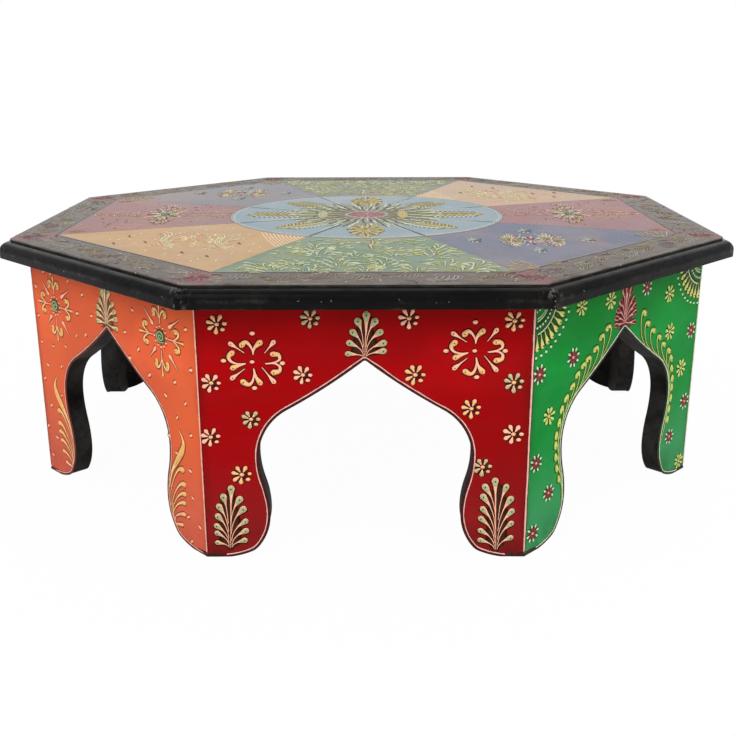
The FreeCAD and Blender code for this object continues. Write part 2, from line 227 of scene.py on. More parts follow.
def painted_panel(place, shaded_top_tone, tone, low_tone, grime):
    """Brushed lacquer on the outer face of one side panel, black on its edges and its inside."""
    paint = Finish(f"{PLACE_NAMES[place]}_panel_lacquer")
    height = paint.along(UP)
    aside = paint.sum("ABSOLUTE", paint.along(facing(place + 2)))
    from_corner = paint.sum("SUBTRACT", HALF_WIDTH * MM, aside)

    def lengthways(scale, detail, roughness, stretch):
        return paint.noise(scale, detail, roughness, paint.stretched(stretch, -place * EIGHTH))

    streaks = lengthways(30, 4, 0.6, (0.25, 3, 3))
    colour = paint.mix(paint.fade(height, 0.012, 0.070), low_tone, tone)
    # The top of the panel takes a darker tone: painted shade under the moulding
    colour = paint.washed(colour, (shaded_top_tone, paint.fade(height, 0.090, 0.138), 1),
                          (grime, paint.fade(paint.noise(9, 4), 0.42, 0.72), 0.30),
                          (low_tone, paint.fade(streaks, 0.35, 0.75), 0.16))
    brighter = paint.mix(1, colour, (1.4, 1.4, 1.4, 1), "MULTIPLY")
    brushed = paint.fade(lengthways(16, 3, 0.5, (1, 1, 1.8)), 0.50, 0.72)

    handled = paint.sum("MAXIMUM", paint.times(paint.fade(from_corner, 0.006, 0), 0.55),
                        paint.times(paint.fade(height, 0.026, 0), 0.75))
    edge = paint.sum("MAXIMUM", paint.fade(from_corner, 0.0022, 0.0004),
                     paint.fade(height, 0.0045, 0.0005))
    face = paint.fade(paint.along(facing(place)), FACE_OUT - 0.0006, FACE_OUT - 0.0003)
    colour = paint.washed(
        colour, (brighter, brushed, 0.55),
        (grime, handled, paint.fade(paint.noise(55, 5, 0.65), 0.30, 0.70)),
        (BLACK, edge, paint.fade(paint.noise(140, 4, 0.7), 0.60, 0.68)),
        (BLACK, paint.fade(height, 0.0024, 0.0010), 1))
    roughness = paint.scaled(paint.sum("SUBTRACT", 1, face), 0.30,
                             paint.scaled(streaks, 0.18, 0.26))
    return paint.done(paint.mix(face, inner_black(paint), colour), roughness, gloss=0.035,
                      bump=lengthways(70, 5, 0.6, (0.3, 3, 3)), depth=0.00012)


def black_moulding():
    """Satin black lacquer, rubbed grey at the mitres and a little along the nose and the rim."""
    paint = Finish("moulding_black_lacquer")
    height = paint.along(UP)
    from_nose = paint.sum("ABSOLUTE", paint.sum("SUBTRACT", height, NOSE_HEIGHT))
    edges = paint.sum("MAXIMUM", paint.fade(from_nose, 0.0016, 0.0002), paint.sum(
        "MAXIMUM", paint.fade(octagon_reach(paint), RIM_OUT + 0.0020, RIM_OUT + 0.0002),
        paint.fade(height, moulding_low.z + 0.0010, moulding_low.z + 0.0002)))
    mitre = paint.fade(mitre_distance(paint), 0.0085, 0)
    handled = paint.noise(45, 5, 0.65)
    fine = paint.noise(420, 4, 0.7)
    scratched = paint.noise(300, 4, 0.7, paint.stretched((1, 1, 0.35)))
    colour = paint.washed(
        BLACK, (DUST, paint.fade(handled, 0.42, 0.80), 0.025),
        (DUST, paint.times(edges, paint.fade(handled, 0.50, 0.70)), 0.12),
        (DUST, paint.times(mitre, paint.fade(scratched, 0.52, 0.64)), 0.45),
        (CHIP, paint.times(paint.sum("MAXIMUM", edges, mitre), paint.fade(fine, 0.69, 0.71)), 0.8))
    brushed = paint.fade(paint.noise(90, 4, 0.6, paint.stretched((1, 1, 4))), 0.30, 0.70)
    upward = paint.times(paint.fade(height, moulding_high.z - 0.0016, moulding_high.z - 0.0005),
                         paint.scaled(brushed, 0.7, 0.65))
    plain_face = paint.fade(height, NOSE_HEIGHT + 0.0008, NOSE_HEIGHT - 0.0006)
    gloss = 0.026
    for share, amount in ((brushed, 0.02), (plain_face, 0.02), (upward, 0.095)):
        gloss = paint.scaled(share, amount, gloss)
    return paint.done(colour, paint.scaled(handled, 0.20, 0.12), gloss,
                      bump=paint.sum("ADD", fine, handled), depth=0.00012)


# One for each place, from the front round to the right
FIELD_TONES = (srgb(86, 116, 92), srgb(72, 76, 104), srgb(129, 76, 80), srgb(172, 142, 108),
               srgb(88, 93, 78), srgb(97, 97, 108), srgb(130, 80, 78), srgb(176, 136, 82))


def painted_top():
    """The board's lacquer: eight coloured fields round a pale blue circle, inside a dark border."""
    paint = Finish("painted_board_lacquer")
    across, back, height = paint.along((1, 0, 0)), paint.along((0, 1, 0)), paint.along(UP)
    reach = octagon_reach(paint)
    radius = paint.sum("SQRT", paint.sum("ADD", paint.times(across, across),
                                         paint.times(back, back)))
    cloud = paint.noise(14, 5)
    streaks = paint.noise(26, 5, 0.65, paint.stretched((0.5, 2.4, 1), 0.5))

    def patches(low, high, scale, detail=3, roughness=0.5, stretch=(1, 0.6, 1), turn=0):
        return paint.fade(paint.noise(scale, detail, roughness, paint.stretched(stretch, turn)),
                          low, high)

    # The ramp starts at the left, two places before the front
    turn = paint.scaled(paint.sum("ARCTAN2", back, across), 1 / math.tau, 0.5)
    wander = paint.scaled(paint.noise(70, 4, 0.6), 0.006, -0.003)
    fields = paint.ramp(paint.sum("ADD", turn, wander),
                        [(max(0, (step - 0.5) / SIDES), FIELD_TONES[(step - 2) % SIDES])
                         for step in range(SIDES + 1)])
    slope = paint.scaled(paint.sum("ABSOLUTE", back), math.tan(EIGHTH / 2),
                         paint.times(paint.sum("ABSOLUTE", across), -1))
    fields = paint.washed(
        fields, (srgb(240, 230, 210), paint.fade(cloud, 0.40, 0.75), 0.088),
        (BLACK, paint.fade(streaks, 0.40, 0.80), 0.125),
        (BLACK, patches(0.45, 0.65, 150, 4, 0.6, (1, 0.5, 1)), 0.06),
        (srgb(186, 120, 66), patches(0.48, 0.68, 21, turn=21), 0.22),
        (srgb(120, 122, 128), patches(0.48, 0.68, 17, turn=17), 0.22),
        (srgb(124, 130, 92), paint.times(paint.fade(slope, 0.001, 0.010),
                                         patches(0.42, 0.58, 48)), 0.55))

    water = paint.mix(paint.fade(cloud, 0.35, 0.70), srgb(110, 132, 142), srgb(124, 142, 148))
    olive = paint.mix(paint.fade(streaks, 0.35, 0.65), srgb(112, 116, 92), srgb(108, 120, 108))
    heart = paint.mix(paint.fade(cloud, 0.4, 0.6), srgb(124, 44, 68), srgb(136, 68, 84))
    circle = paint.washed(
        water, (srgb(146, 150, 162), patches(0.52, 0.66, 32), 0.5),
        (olive, paint.fade(radius, 0.060, 0.042), 1),
        (heart, paint.fade(radius, MEDALLION * MM, MEDALLION * MM - 0.0006), 1))

    border = paint.mix(paint.fade(cloud, 0.35, 0.70), srgb(76, 66, 60), srgb(92, 80, 74))
    # The border is darker towards the back: painted shade
    border = paint.washed(
        border, (srgb(112, 58, 62), paint.fade(mitre_distance(paint), 0.016, 0.006),
                 paint.fade(paint.noise(90), 0.38, 0.60)),
        (BLACK, paint.fade(back, 0.14, 0.20), 0.75))

    # A pale line just inside the rim: partly wear, partly a painted highlight along the board's
    # edge
    rim_wear_and_highlight = paint.fade(reach, RIM_OUT - 0.0012, RIM_OUT - 0.0005)
    colour = paint.washed(
        fields, (circle, paint.fade(radius, CIRCLE * MM, CIRCLE * MM - 0.0004), 1),
        (border, paint.fade(reach, FIELD_EDGE * MM - 0.0003, FIELD_EDGE * MM + 0.0003), 1),
        (BLACK, paint.fade(reach, RIM_OUT - 0.006, RIM_OUT), 0.22),
        (CHIP, paint.times(rim_wear_and_highlight, paint.fade(paint.noise(40, 4, 0.6), 0.20, 0.60)), 0.22))
    colour = paint.mix(paint.fade(height, TABLE_HEIGHT - 0.0012, TABLE_HEIGHT - 0.0008),
                       inner_black(paint), colour)
    return paint.done(colour, paint.scaled(cloud, 0.14, 0.17), gloss=0.04,
                      bump=paint.sum("ADD", streaks, paint.noise(240)), depth=0.00015)


def raised_paint(name, roughness, gloss):
    """Thick paint in the tint that each stroke carries."""
    paint = Finish(name)
    tint = paint.make("ShaderNodeAttribute", {}, "Color", attribute_name="tint")
    mottle = paint.noise(500, 3, 0.6)
    colour = paint.washed(
        tint, (srgb(96, 70, 52), paint.fade(mottle, 0.40, 0.75), 0.175),
        (paint.mix(0.6, tint, BLACK), paint.fade(paint.noise(160, 4, 0.6), 0.62, 0.72), 0.35))
    return paint.done(colour, roughness, gloss, bump=mottle, depth=0.00008)


def bare_wood():
    """Rough sawn block wood, with its grain running up."""
    wood = Finish("block_wood")
    grain = wood.noise(40, 6, 0.6, wood.stretched((5, 5, 0.35)))
    pores = wood.noise(300, 3, 0.6, wood.stretched((4, 4, 0.3)))
    colour = wood.mix(wood.fade(grain, 0.35, 0.65), srgb(150, 106, 66), srgb(104, 68, 40))
    colour = wood.washed(colour, (srgb(58, 36, 22), wood.fade(pores, 0.55, 0.70), 0.6),
                         (BLACK, wood.fade(wood.noise(26, 4), 0.56, 0.66), 0.7))
    return wood.done(colour, wood.scaled(grain, 0.2, 0.6), gloss=0.3,
                     bump=wood.sum("ADD", grain, pores), depth=0.0004)


def dull_steel():
    """Zinc plated screws gone dull, with a little rust."""
    steel = Finish("screw_zinc")
    tarnish = steel.noise(400, 4, 0.6)
    colour = steel.mix(steel.fade(tarnish, 0.40, 0.70), srgb(186, 184, 176), srgb(128, 122, 112))
    rust = steel.fade(steel.noise(700, 3, 0.6), 0.60, 0.68)
    colour = steel.washed(colour, (srgb(112, 62, 34), rust, 0.7))
    return steel.done(colour, steel.scaled(tarnish, 0.3, 0.3), metal=0.9,
                      bump=tarnish, depth=0.0001)


# ---------------------------------------------------------------- Geometry Nodes


class Modelling(Wiring):
    """A Geometry Nodes tree that makes solid pieces of the points and runs in a mesh."""

    def __init__(self, name, **inputs):
        super().__init__(bpy.data.node_groups.new(name, "GeometryNodeTree"))
        sockets = self.tree.interface
        for label, kind in (("Geometry", "Geometry"), *inputs.items(), ("Finish", "Material")):
            sockets.new_socket(label.replace("_", " "), in_out="INPUT",
                               socket_type=f"NodeSocket{kind}")
        sockets.new_socket("Geometry", in_out="OUTPUT", socket_type="NodeSocketGeometry")
        self.given = self.tree.nodes.new("NodeGroupInput").outputs

    def ended(self, geometry):
        """The tree, which makes that geometry real and gives it its material last."""
        real = self.make("GeometryNodeRealizeInstances", {"Geometry": geometry})
        coat = self.make("GeometryNodeSetMaterial",
                         {"Geometry": real, "Material": self.given["Finish"]})
        self.plug(self.tree.nodes.new("NodeGroupOutput").inputs["Geometry"], coat)
        return self.tree


def stroke_tree():
    """Turns painted runs into rounded lines of paint and sets them on the face they belong to."""
    lines = Modelling("cone_painted_lines", Facets_round_the_line="Int", Tilt="Float",
                      Turn="Float", Face_place="Vector")
    make, given = lines.make, lines.given

    def attribute(name):
        return make("GeometryNodeInputNamedAttribute", {"Name": name}, "Attribute",
                    data_type="FLOAT")

    run = make("GeometryNodeMeshToCurve", {"Mesh": given["Geometry"]})
    upright = make("GeometryNodeSetCurveNormal", {"Curve": run}, mode="Z_UP")
    ring = make("GeometryNodeCurvePrimitiveCircle",
                {"Resolution": given["Facets round the line"], "Radius": 1})
    tube = make("GeometryNodeCurveToMesh", {"Curve": upright, "Profile Curve": ring,
                                            "Scale": attribute("line_width"), "Fill Caps": True})

    spread = make("ShaderNodeSeparateXYZ", {0: make("GeometryNodeInputPosition", {})}).node.outputs
    flat = lines.sum("MULTIPLY_ADD", spread["Z"], attribute("line_relief"),
                     attribute("line_lift"))
    place = make("ShaderNodeCombineXYZ", {"X": spread["X"], "Y": spread["Y"], "Z": flat})
    shape = make("GeometryNodeSetPosition", {"Geometry": tube, "Position": place})
    for axis, amount, move in (("X", given["Tilt"], given["Face place"]),
                               ("Z", given["Turn"], (0, 0, 0))):
        turn = make("FunctionNodeEulerToRotation",
                    {"Euler": make("ShaderNodeCombineXYZ", {axis: amount})})
        shape = make("GeometryNodeTransform",
                     {"Geometry": shape, "Rotation": turn, "Translation": move})
    return lines.ended(make("GeometryNodeSetShadeSmooth", {"Geometry": shape}))


def flake_tree():
    """Scatters small flakes of bare ground on a part of the points."""
    flakes = Modelling("scattered_flakes", Flake_size="Float", Share_kept="Float", Seed="Int")
    make, given = flakes.make, flakes.given

    def drawn(kind, inputs, output=0):
        """A random value for each point, between the first two inputs if it is a vector."""
        return make("FunctionNodeRandomValue", {**inputs, "Seed": given["Seed"]}, output,
                    data_type=kind)

    flake = make("GeometryNodeMeshIcoSphere", {"Radius": 1, "Subdivisions": 1})
    keep = drawn("BOOLEAN", {"Probability": given["Share kept"]}, 3)
    size = drawn("FLOAT_VECTOR", {0: (0.25, 0.25, 0.2), 1: (1, 0.9, 0.6)})
    scale = make("ShaderNodeVectorMath", {0: size, "Scale": given["Flake size"]},
                 operation="SCALE")
    spin = drawn("FLOAT_VECTOR", {1: (math.tau, math.tau, math.tau)})
    turn = make("FunctionNodeEulerToRotation", {"Euler": spin})
    return flakes.ended(make("GeometryNodeInstanceOnPoints", {
        "Points": given["Geometry"], "Selection": keep, "Instance": flake, "Rotation": turn,
        "Scale": scale}))


def linked(name, data):
    made = bpy.data.objects.new(name, data)
    bpy.context.scene.collection.objects.link(made)
    return made


def modelled(mesh, tree, slot, **values):
    """The piece that a tree makes of a mesh, as a plain mesh of its own, its faces outwards."""
    piece = linked(mesh.name, mesh)
    modifier = piece.modifiers.new(tree.name, "NODES")
    modifier.node_group = tree
    for item in tree.interface.items_tree:
        if item.in_out == "INPUT" and item.name != "Geometry":
            modifier[item.identifier] = values[item.name.replace(" ", "_")]
    bpy.context.view_layer.update()
    graph = bpy.context.evaluated_depsgraph_get()
    made = bpy.data.meshes.new_from_object(piece.evaluated_get(graph),
                                           preserve_all_data_layers=True, depsgraph=graph)
    piece.modifiers.clear()
    piece.data = made
    solid = bmesh.new()
    solid.from_mesh(made)
    bmesh.ops.recalc_face_normals(solid, faces=solid.faces)
    solid.to_mesh(made)
    solid.free()
    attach(piece, "root")


# ---------------------------------------------------------------- strokes of thick paint

# A line's height over its half width, that of the dark film under it, and how many millimetres
# wider the film is on each side; then how many facets go round a line
RELIEF = 0.42
FILM = 0.05
HALO = 0.62
FACETS = 6
# The relief and lift of the tinted heart in a drop, the lift and width of the dark dot in its head,
# which is painted shade for a small hollow there
HEART_RELIEF, HEART_LIFT = 0.25, 0.36
PIT_LIFT, PIT_SHARE = 2.6, 0.24

Colours = namedtuple("Colours", "rim shade heart", defaults=(None, None))


class Painting:
    """Strokes laid from a paint cone on one flat face. They are drawn in millimetres in the face's
    own plane, and `stand` moves, turns and sizes whatever is drawn after it."""

    def __init__(self, seed):
        self.hand = random.Random(seed)
        self.points, self.edges, self.tints = [], [], []
        self.lines = {"line_width": [], "line_relief": [], "line_lift": []}
        self.stand()

    def stand(self, x=0, y=0, turn=0, size=1, mirror=1):
        angle = math.radians(turn)
        self.stance = (x, y, math.cos(angle) * size, math.sin(angle) * size, size, mirror)

    def stroke(self, knots, tint, relief=RELIEF, lift=0, wider=0, share=1, steps=2):
        """One stroke through knots of place and half width, with rounded ends."""
        x0, y0, cosine, sine, size, mirror = self.stance
        first = len(self.points)
        for x, y, half in rounded(smooth_run(knots, steps)):
            x *= mirror
            self.points.append(
                Vector((x0 + x * cosine - y * sine, y0 + x * sine + y * cosine, 0)) * MM)
            self.lines["line_width"].append((half * size * share + wider) * MM)
            self.lines["line_relief"].append(relief)
            self.lines["line_lift"].append(lift * half * size * MM)
            self.tints += tint
        self.edges += [(k, k + 1) for k in range(first, len(self.points) - 1)]

    def drop(self, knots, colours, shaded_pit=False, steps=2, halo=HALO):
        """A drawn out drop: dark ground round it, a pale rim and a tinted heart in its fat end."""
        if colours.shade:
            self.stroke(knots, colours.shade, FILM, wider=halo, steps=steps)
        self.stroke(knots, colours.rim, steps=steps)
        if colours.heart:
            self.stroke(fat_part(smooth_run(knots, steps)), colours.heart, HEART_RELIEF,
                        HEART_LIFT, share=0.56, steps=1)
        # A dark dot in the head: painted shade for a small hollow there
        if shaded_pit:
            x, y, half = max(knots, key=lambda knot: knot[2])
            self.dot(x, y, half * PIT_SHARE, Colours(colours.shade), PIT_LIFT)

    def dot(self, x, y, half, colours, lift=0):
        knots = [(x + half * aside, y, half * 0.96) for aside in (-0.1, 0.1)]
        if colours.shade:
            self.stroke(knots, colours.shade, FILM, wider=HALO)
        self.stroke(knots, colours.rim, lift=lift)
        if colours.heart:
            self.stroke(knots, colours.heart, HEART_RELIEF, HEART_LIFT, share=0.5)

    def fine(self, knots, half, tint, shade=None, steps=2):
        """One fine stroke, thin at its start and fat at its end."""
        last = len(knots) - 1
        run = [(x, y, half * (0.45 + 0.55 * step / last)) for step, (x, y) in enumerate(knots)]
        # On the board the dark film round a fine stroke is partly dark paint and partly the
        # stroke's painted shadow
        self.drop(run, Colours(tint, shade), steps=steps, halo=0.42)

    def ground(self, half, tint):
        """A round patch of thin dark paint under a motif."""
        self.stroke([(-0.3, 0, half), (0.3, 0, half)], tint, FILM / 4)

    def vary(self, amount):
        return self.hand.uniform(1 - amount, 1 + amount)


def fat_part(run):
    """The part of a run where it is widest, as two knots or more."""
    least = 0.62 * max(half for x, y, half in run)
    part = [knot for knot in run if knot[2] >= least]
    if len(part) == 1:
        number = run.index(part[0])
        beside = run[number - 1] if number else run[1]
        part.insert(0, tuple(0.75 * a + 0.25 * b for a, b in zip(part[0], beside)))
    return part


def smooth_run(knots, steps):
    """Points along a smooth run through the knots."""
    if len(knots) == 2:
        return list(knots)
    padded = [knots[0], *knots, knots[-1]]
    run = [tuple(0.5 * (2 * b + (c - a) * t + (2 * a - 5 * b + 4 * c - d) * t * t
                        + (3 * b - a - 3 * c + d) * t ** 3) for a, b, c, d in zip(*four))
           for four in zip(padded, padded[1:], padded[2:], padded[3:])
           for t in (step / steps for step in range(steps))]
    return [*run, knots[-1]]


def rounded(run):
    """The run with a rounded cap beyond each end."""
    capped = []
    for end, inner in ((run[0], run[1]), (run[-1], run[-2])):
        away = Vector((end[0] - inner[0], end[1] - inner[1])).normalized()
        half = max(end[2], 0.05)
        capped.append([(end[0] + away.x * half * out, end[1] + away.y * half * out, half * share)
                       for out, share in ((0.60, 0.80), (0.96, 0.28))])
    return capped[0][::-1] + list(run) + capped[1]


def spoke(turn, reach):
    """The place at that angle and distance."""
    return math.cos(math.radians(turn)) * reach, math.sin(math.radians(turn)) * reach


def ray(turn, *knots):
    """Knots at one angle, each from its distance and its half width."""
    return [(*spoke(turn, far), half) for far, half in knots]


def between(start, end, *knots):
    """Knots on a straight line, each from its share of the way and its half width."""
    return [(*(a + (b - a) * share for a, b in zip(start, end)), half) for share, half in knots]


def on_panel(share):
    """A place on a side panel, from its shares of the half width and the height."""
    return share[0] * HALF_WIDTH, share[1] * PANEL_HEIGHT


# ---------------------------------------------------------------- tints

CREAM = srgb(254, 184, 154)
PINK = srgb(244, 170, 150)
PALE_GREEN = srgb(164, 186, 134)
YELLOW = srgb(242, 192, 110)
MINT = srgb(190, 224, 178)
MAROON = srgb(122, 38, 42)

# ---------------------------------------------------------------- painted motifs

FIVE_DROPS = (61, 119, 163, 211, 262)
TWO_DOTS = (5, 317)
EIGHT_DROPS = range(20, 380, 45)


def small_flower(painting, x, y, colours, centre, drops=FIVE_DROPS, dots=TWO_DOTS):
    """A dot with short drops round it, their heads outwards."""
    hand, vary = painting.hand, painting.vary
    painting.stand(x, y, hand.uniform(-7, 7), vary(0.06))
    painting.ground(2.7, colours.shade)
    for turn in drops:
        painting.drop(ray(turn + hand.uniform(-4, 4), (1.8, 0.36), (3, 0.78),
                          (4.2 * vary(0.06), 1.22 * vary(0.08))), colours, steps=1)
    for turn in dots:
        painting.dot(*spoke(turn, 4), 1.05 * vary(0.08), colours)
    painting.dot(0, 0, 1.1, centre)


def tailed_flower(painting, x, y, heads, tails, centre):
    """Eight pale heads, each with a darker tail running in to the centre dot."""
    hand = painting.hand
    painting.stand(x, y, hand.uniform(-10, 10), painting.vary(0.06))
    painting.ground(3.8, tails.shade)
    for turn in EIGHT_DROPS:
        turn += hand.uniform(-3, 3)
        painting.drop(ray(turn, (1.7, 0.35), (3.4, 0.6)), tails)
        painting.drop(ray(turn, (3.5, 0.62), (4.6, 0.85)), heads)
    painting.dot(0, 0, 0.95, centre)


def crook(painting, knots, colours, thin=0.34, head=1.65):
    """A thin line that ends in a fat curled head."""
    last = len(knots) - 1
    run = [(x, y, (thin + (head - thin) * (step / last) ** 1.7) * painting.vary(0.05))
           for step, (x, y) in enumerate(knots)]
    painting.drop(run, colours, shaded_pit=True, steps=3)


def quatrefoil(painting, x, y, tinted, plain):
    """Four pairs of crooks, four straight drops between them and four dots round the whole."""
    painting.stand(x, y, painting.hand.uniform(-3, 3))
    for arm in (((7.0, -0.9), (11.4, -0.3), (14.2, 1.3), (13.6, 3.8), (10.9, 4.1)),
                ((7.4, -1.1), (11.6, -0.9), (14.2, -2.6), (13.9, -5.0), (11.1, -5.7)),
                ((-3.6, -0.9), (-7.4, -1.1), (-10.8, 0.2), (-12.0, 2.8), (-10.2, 4.7)),
                ((-3.8, -1.2), (-6.8, -2.0), (-9.9, -3.2)),
                ((0.6, 4.1), (0.3, 6.4), (-1.1, 9.1), (-3.0, 10.6), (-4.9, 9.1)),
                ((0.7, 4.4), (1.4, 7.4), (4.2, 10.2)),
                ((0.7, -3.8), (0.8, -7.0), (-0.3, -10.9), (-2.4, -12.4), (-4.9, -10.9)),
                ((0.9, -4.2), (1.7, -8.0), (3.7, -11.2))):
        crook(painting, arm, tinted)
    for ends in (((6.7, 4.9), (11.2, 10.4)), ((-4.1, 4.9), (-10.6, 9.6)),
                 ((-4.1, -3.9), (-10.4, -8.7)), ((5.1, -3.1), (10.8, -10.6))):
        painting.drop(between(*ends, (0, 0.24), (0.5, 0.40), (0.78, 0.95), (1, 1.45)), plain,
                      shaded_pit=True)
    for place in ((0.6, 15.2), (-14.7, 0.6), (15.6, -0.7), (0.8, -14.2)):
        painting.dot(*place, 1.25, plain)
    painting.dot(0, 0, 1.1, plain)


def plume(painting, base, tip, left, right, colours, head=1.95, low_fall=0.95, high_fall=0.52):
    """A standing feather: a middle drop and pairs of drops whose thin tails run down to its stem.
    Each tail falls by a share of its head's height, less for the upper ones."""
    painting.stand()
    (bx, by), (tx, ty) = on_panel(base), on_panel(tip)
    heads = [(side, number / (len(shares) - 1), *on_panel(share))
             for side, shares in ((-1, left), (1, right)) for number, share in enumerate(shares)]
    middle = [(bx, y - 2, abs(x - bx) * 0.72) for side, low, x, y in heads if side > 0]
    painting.stroke([(tx, ty - 3, head), *middle, (bx, by, head)], colours.shade, FILM / 8)
    for side, low, x, y in heads:
        fall = (y - by) * (high_fall + (low_fall - high_fall) * low)
        close = bx + side * 0.7 - x
        size = head * (1 - 0.18 * low) * painting.vary(0.08)
        painting.drop([(x + close * near, y - fall * down, half) for near, down, half in (
            (1, 1, 0.20), (0.86, 0.64, 0.24), (0.54, 0.30, 0.38), (0.22, 0.12, size * 0.70),
            (0, 0, size))], colours, shaded_pit=True, steps=3)
    crest = [(bx, by, 0.2), (bx + (tx - bx) * 0.4, by + (ty - by) * 0.4, 0.24),
             (bx + (tx - bx) * 0.7, ty - head * 6, 0.45),
             (bx + (tx - bx) * 0.9, ty - head * 3.2, 1), (tx, ty - head * 1.2, head * 1.05)]
    painting.drop(crest, colours, shaded_pit=True, steps=3)


def off_rim(point):
    """The nearest place on the arch's rim, how far in from it the point lies, and the way in."""
    found = []
    for start, end in zip(RIM, RIM[1:]):
        run = end - start
        place = start + run * max(0, min(1, (point - start).dot(run) / run.length_squared))
        found.append(((point - place).length, place, Vector((-run.y, run.x)).normalized()))
    gap, nearest, inward = min(found, key=lambda near: near[0])
    return nearest, math.copysign(gap, (point - nearest).dot(inward)), inward


def kept_in(knots, least):
    """The knots, moved so that none comes nearer to the arch's rim than it may."""
    moved = []
    for x, y, half in knots:
        nearest, gap, inward = off_rim(Vector((x, y)))
        if gap < least + half:
            x, y = nearest + inward * (least + half)
        moved.append((x, y, half))
    return moved


# ---------------------------------------------------------------- the red and blue panels

LARGE_FOILS = ((-0.67, 0.78), (0.65, 0.82))
FOIL_PANEL_FLOWERS = (
    (-0.87, 0.92), (-0.32, 0.94), (0.26, 0.94), (0.88, 0.93), (-0.92, 0.70), (-0.37, 0.73),
    (0.30, 0.73), (0.89, 0.70), (-0.69, 0.56), (0.64, 0.60), (-0.94, 0.49), (0.90, 0.50),
    (-0.76, 0.34), (0.72, 0.37))
OLIVE_FLOWERS = (1, 7, 8, 13)
FOOT_PLUMES = (
    ((-0.85, 0.04), (-0.83, 0.30),
     ((-0.88, 0.25), (-0.91, 0.21), (-0.92, 0.17), (-0.93, 0.13), (-0.93, 0.10), (-0.93, 0.06)),
     ((-0.78, 0.24), (-0.76, 0.20), (-0.75, 0.15), (-0.75, 0.11), (-0.76, 0.07))),
    ((0.82, 0.03), (0.80, 0.33),
     ((0.74, 0.29), (0.73, 0.25), (0.73, 0.20), (0.72, 0.16), (0.72, 0.11), (0.72, 0.07)),
     ((0.87, 0.29), (0.90, 0.24), (0.91, 0.19), (0.91, 0.14), (0.91, 0.08))))
ARCH_PLUME = (
    (0.0, 0.80), (0.01, 0.97),
    ((-0.04, 0.93), (-0.07, 0.89), (-0.09, 0.85), (-0.10, 0.81)),
    ((0.06, 0.93), (0.09, 0.89), (0.11, 0.85), (0.11, 0.82)))


def foil_panel(seed, shade, shade_olive):
    painting = Painting(seed)
    plain, warm = Colours(CREAM, shade), Colours(CREAM, shade, YELLOW)
    green = Colours(CREAM, shade_olive, PALE_GREEN)
    for number, share in enumerate(FOIL_PANEL_FLOWERS):
        small_flower(painting, *on_panel(share), green if number in OLIVE_FLOWERS else
                     plain if number % 3 else warm, warm)
    for share in LARGE_FOILS:
        quatrefoil(painting, *on_panel(share), warm, plain)
    for shares in FOOT_PLUMES:
        plume(painting, *shares, green)
    plume(painting, *ARCH_PLUME, green, head=2.05, low_fall=1, high_fall=0.72)
    return painting


# ---------------------------------------------------------------- the orange panels

LARGE_STARS = ((-0.69, 0.81), (0.63, 0.83))
SCATTERED_DROPS = (
    (-0.29, 0.90), (-0.71, 0.95), (-0.47, 0.94), (-0.95, 0.87), (-0.81, 0.95), (0.33, 0.90),
    (0.22, 0.80), (0.26, 0.70), (0.37, 0.75), (-0.19, 0.82), (-0.38, 0.81), (-0.42, 0.71),
    (-0.29, 0.73), (-0.59, 0.64), (-0.77, 0.62), (-0.94, 0.62), (-0.95, 0.74), (-0.88, 0.52),
    (-0.68, 0.54), (-0.95, 0.45), (-0.72, 0.40), (-0.89, 0.33), (-0.97, 0.22), (-0.85, 0.18),
    (-0.94, 0.08), (0.91, 0.89), (0.94, 0.74), (0.48, 0.66), (0.76, 0.67), (0.65, 0.60),
    (0.86, 0.60), (0.76, 0.53), (0.66, 0.44), (0.90, 0.48), (0.73, 0.38), (0.87, 0.33),
    (0.88, 0.22), (0.82, 0.13), (0.94, 0.11), (0.84, 0.03))
FAN_PLUME = (
    (0.0, 0.81), (0.0, 0.97),
    ((-0.04, 0.94), (-0.07, 0.90), (-0.10, 0.87), (-0.11, 0.84), (-0.11, 0.81)),
    ((0.05, 0.94), (0.09, 0.90), (0.11, 0.87), (0.12, 0.84), (0.12, 0.80)))
# Shares of the half width and the height, with half widths in millimetres
FLAME = ((0.62, 0.22, 0.3), (0.66, 0.29, 0.8), (0.73, 0.35, 1.9), (0.79, 0.40, 2.0),
         (0.81, 0.44, 1.0), (0.77, 0.48, 0.25))
COMMA_HEADS = ((0.78, 0.32), (0.79, 0.26), (0.79, 0.22), (0.78, 0.18), (0.77, 0.13), (0.74, 0.08))


def star(painting, x, y, stem, arm, plain, middle):
    """A spiral boss ringed with dots, four forked arms and four drops with their tails outwards."""
    painting.stand(x, y, painting.hand.uniform(-3, 3))
    painting.ground(4.4, middle.shade)
    radii = (0.4, 0.9, 1.4, 1.8, 2.2, 2.6, 3.0, 3.3, 3.6, 3.8)
    painting.stroke([(math.cos(1.3 * step) * far, math.sin(1.3 * step) * far, 0.30)
                     for step, far in enumerate(radii)], middle.rim, relief=0.9, lift=0.6)
    for turn in range(0, 360, 30):
        painting.dot(*spoke(turn, 5.7), 0.70 * painting.vary(0.15), plain)
    for turn, reach in ((90, 18), (270, 21.5), (0, 20.5), (180, 19.5)):
        painting.stand(x, y, turn)
        painting.drop(ray(0, (7.5, 0.40), (reach * 0.55, 0.46), (reach * 0.80, 0.40)), stem)
        painting.drop(ray(0, (reach * 0.78, 0.40), (reach * 0.9, 0.5), (reach, 1)), arm)
        for side in (-1, 1):
            crook(painting, [(reach * out, side * off) for out, off in (
                (0.60, 0.4), (0.72, 1.6), (0.82, 3.4), (0.80, 5.2), (0.68, 5.2))], arm,
                thin=0.36, head=1.75)
    painting.stand(x, y)
    for ends in (((17.8, 12.2), (9.4, 7.2)), ((-14.4, 13.9), (-7.2, 6.7)),
                 ((-11.1, -12.8), (-6.1, -7.8)), ((14.4, -16.1), (8.3, -9.4))):
        painting.drop(between(*ends, (0, 0.24), (0.5, 0.42), (0.8, 0.9), (1, 1.4)), plain)


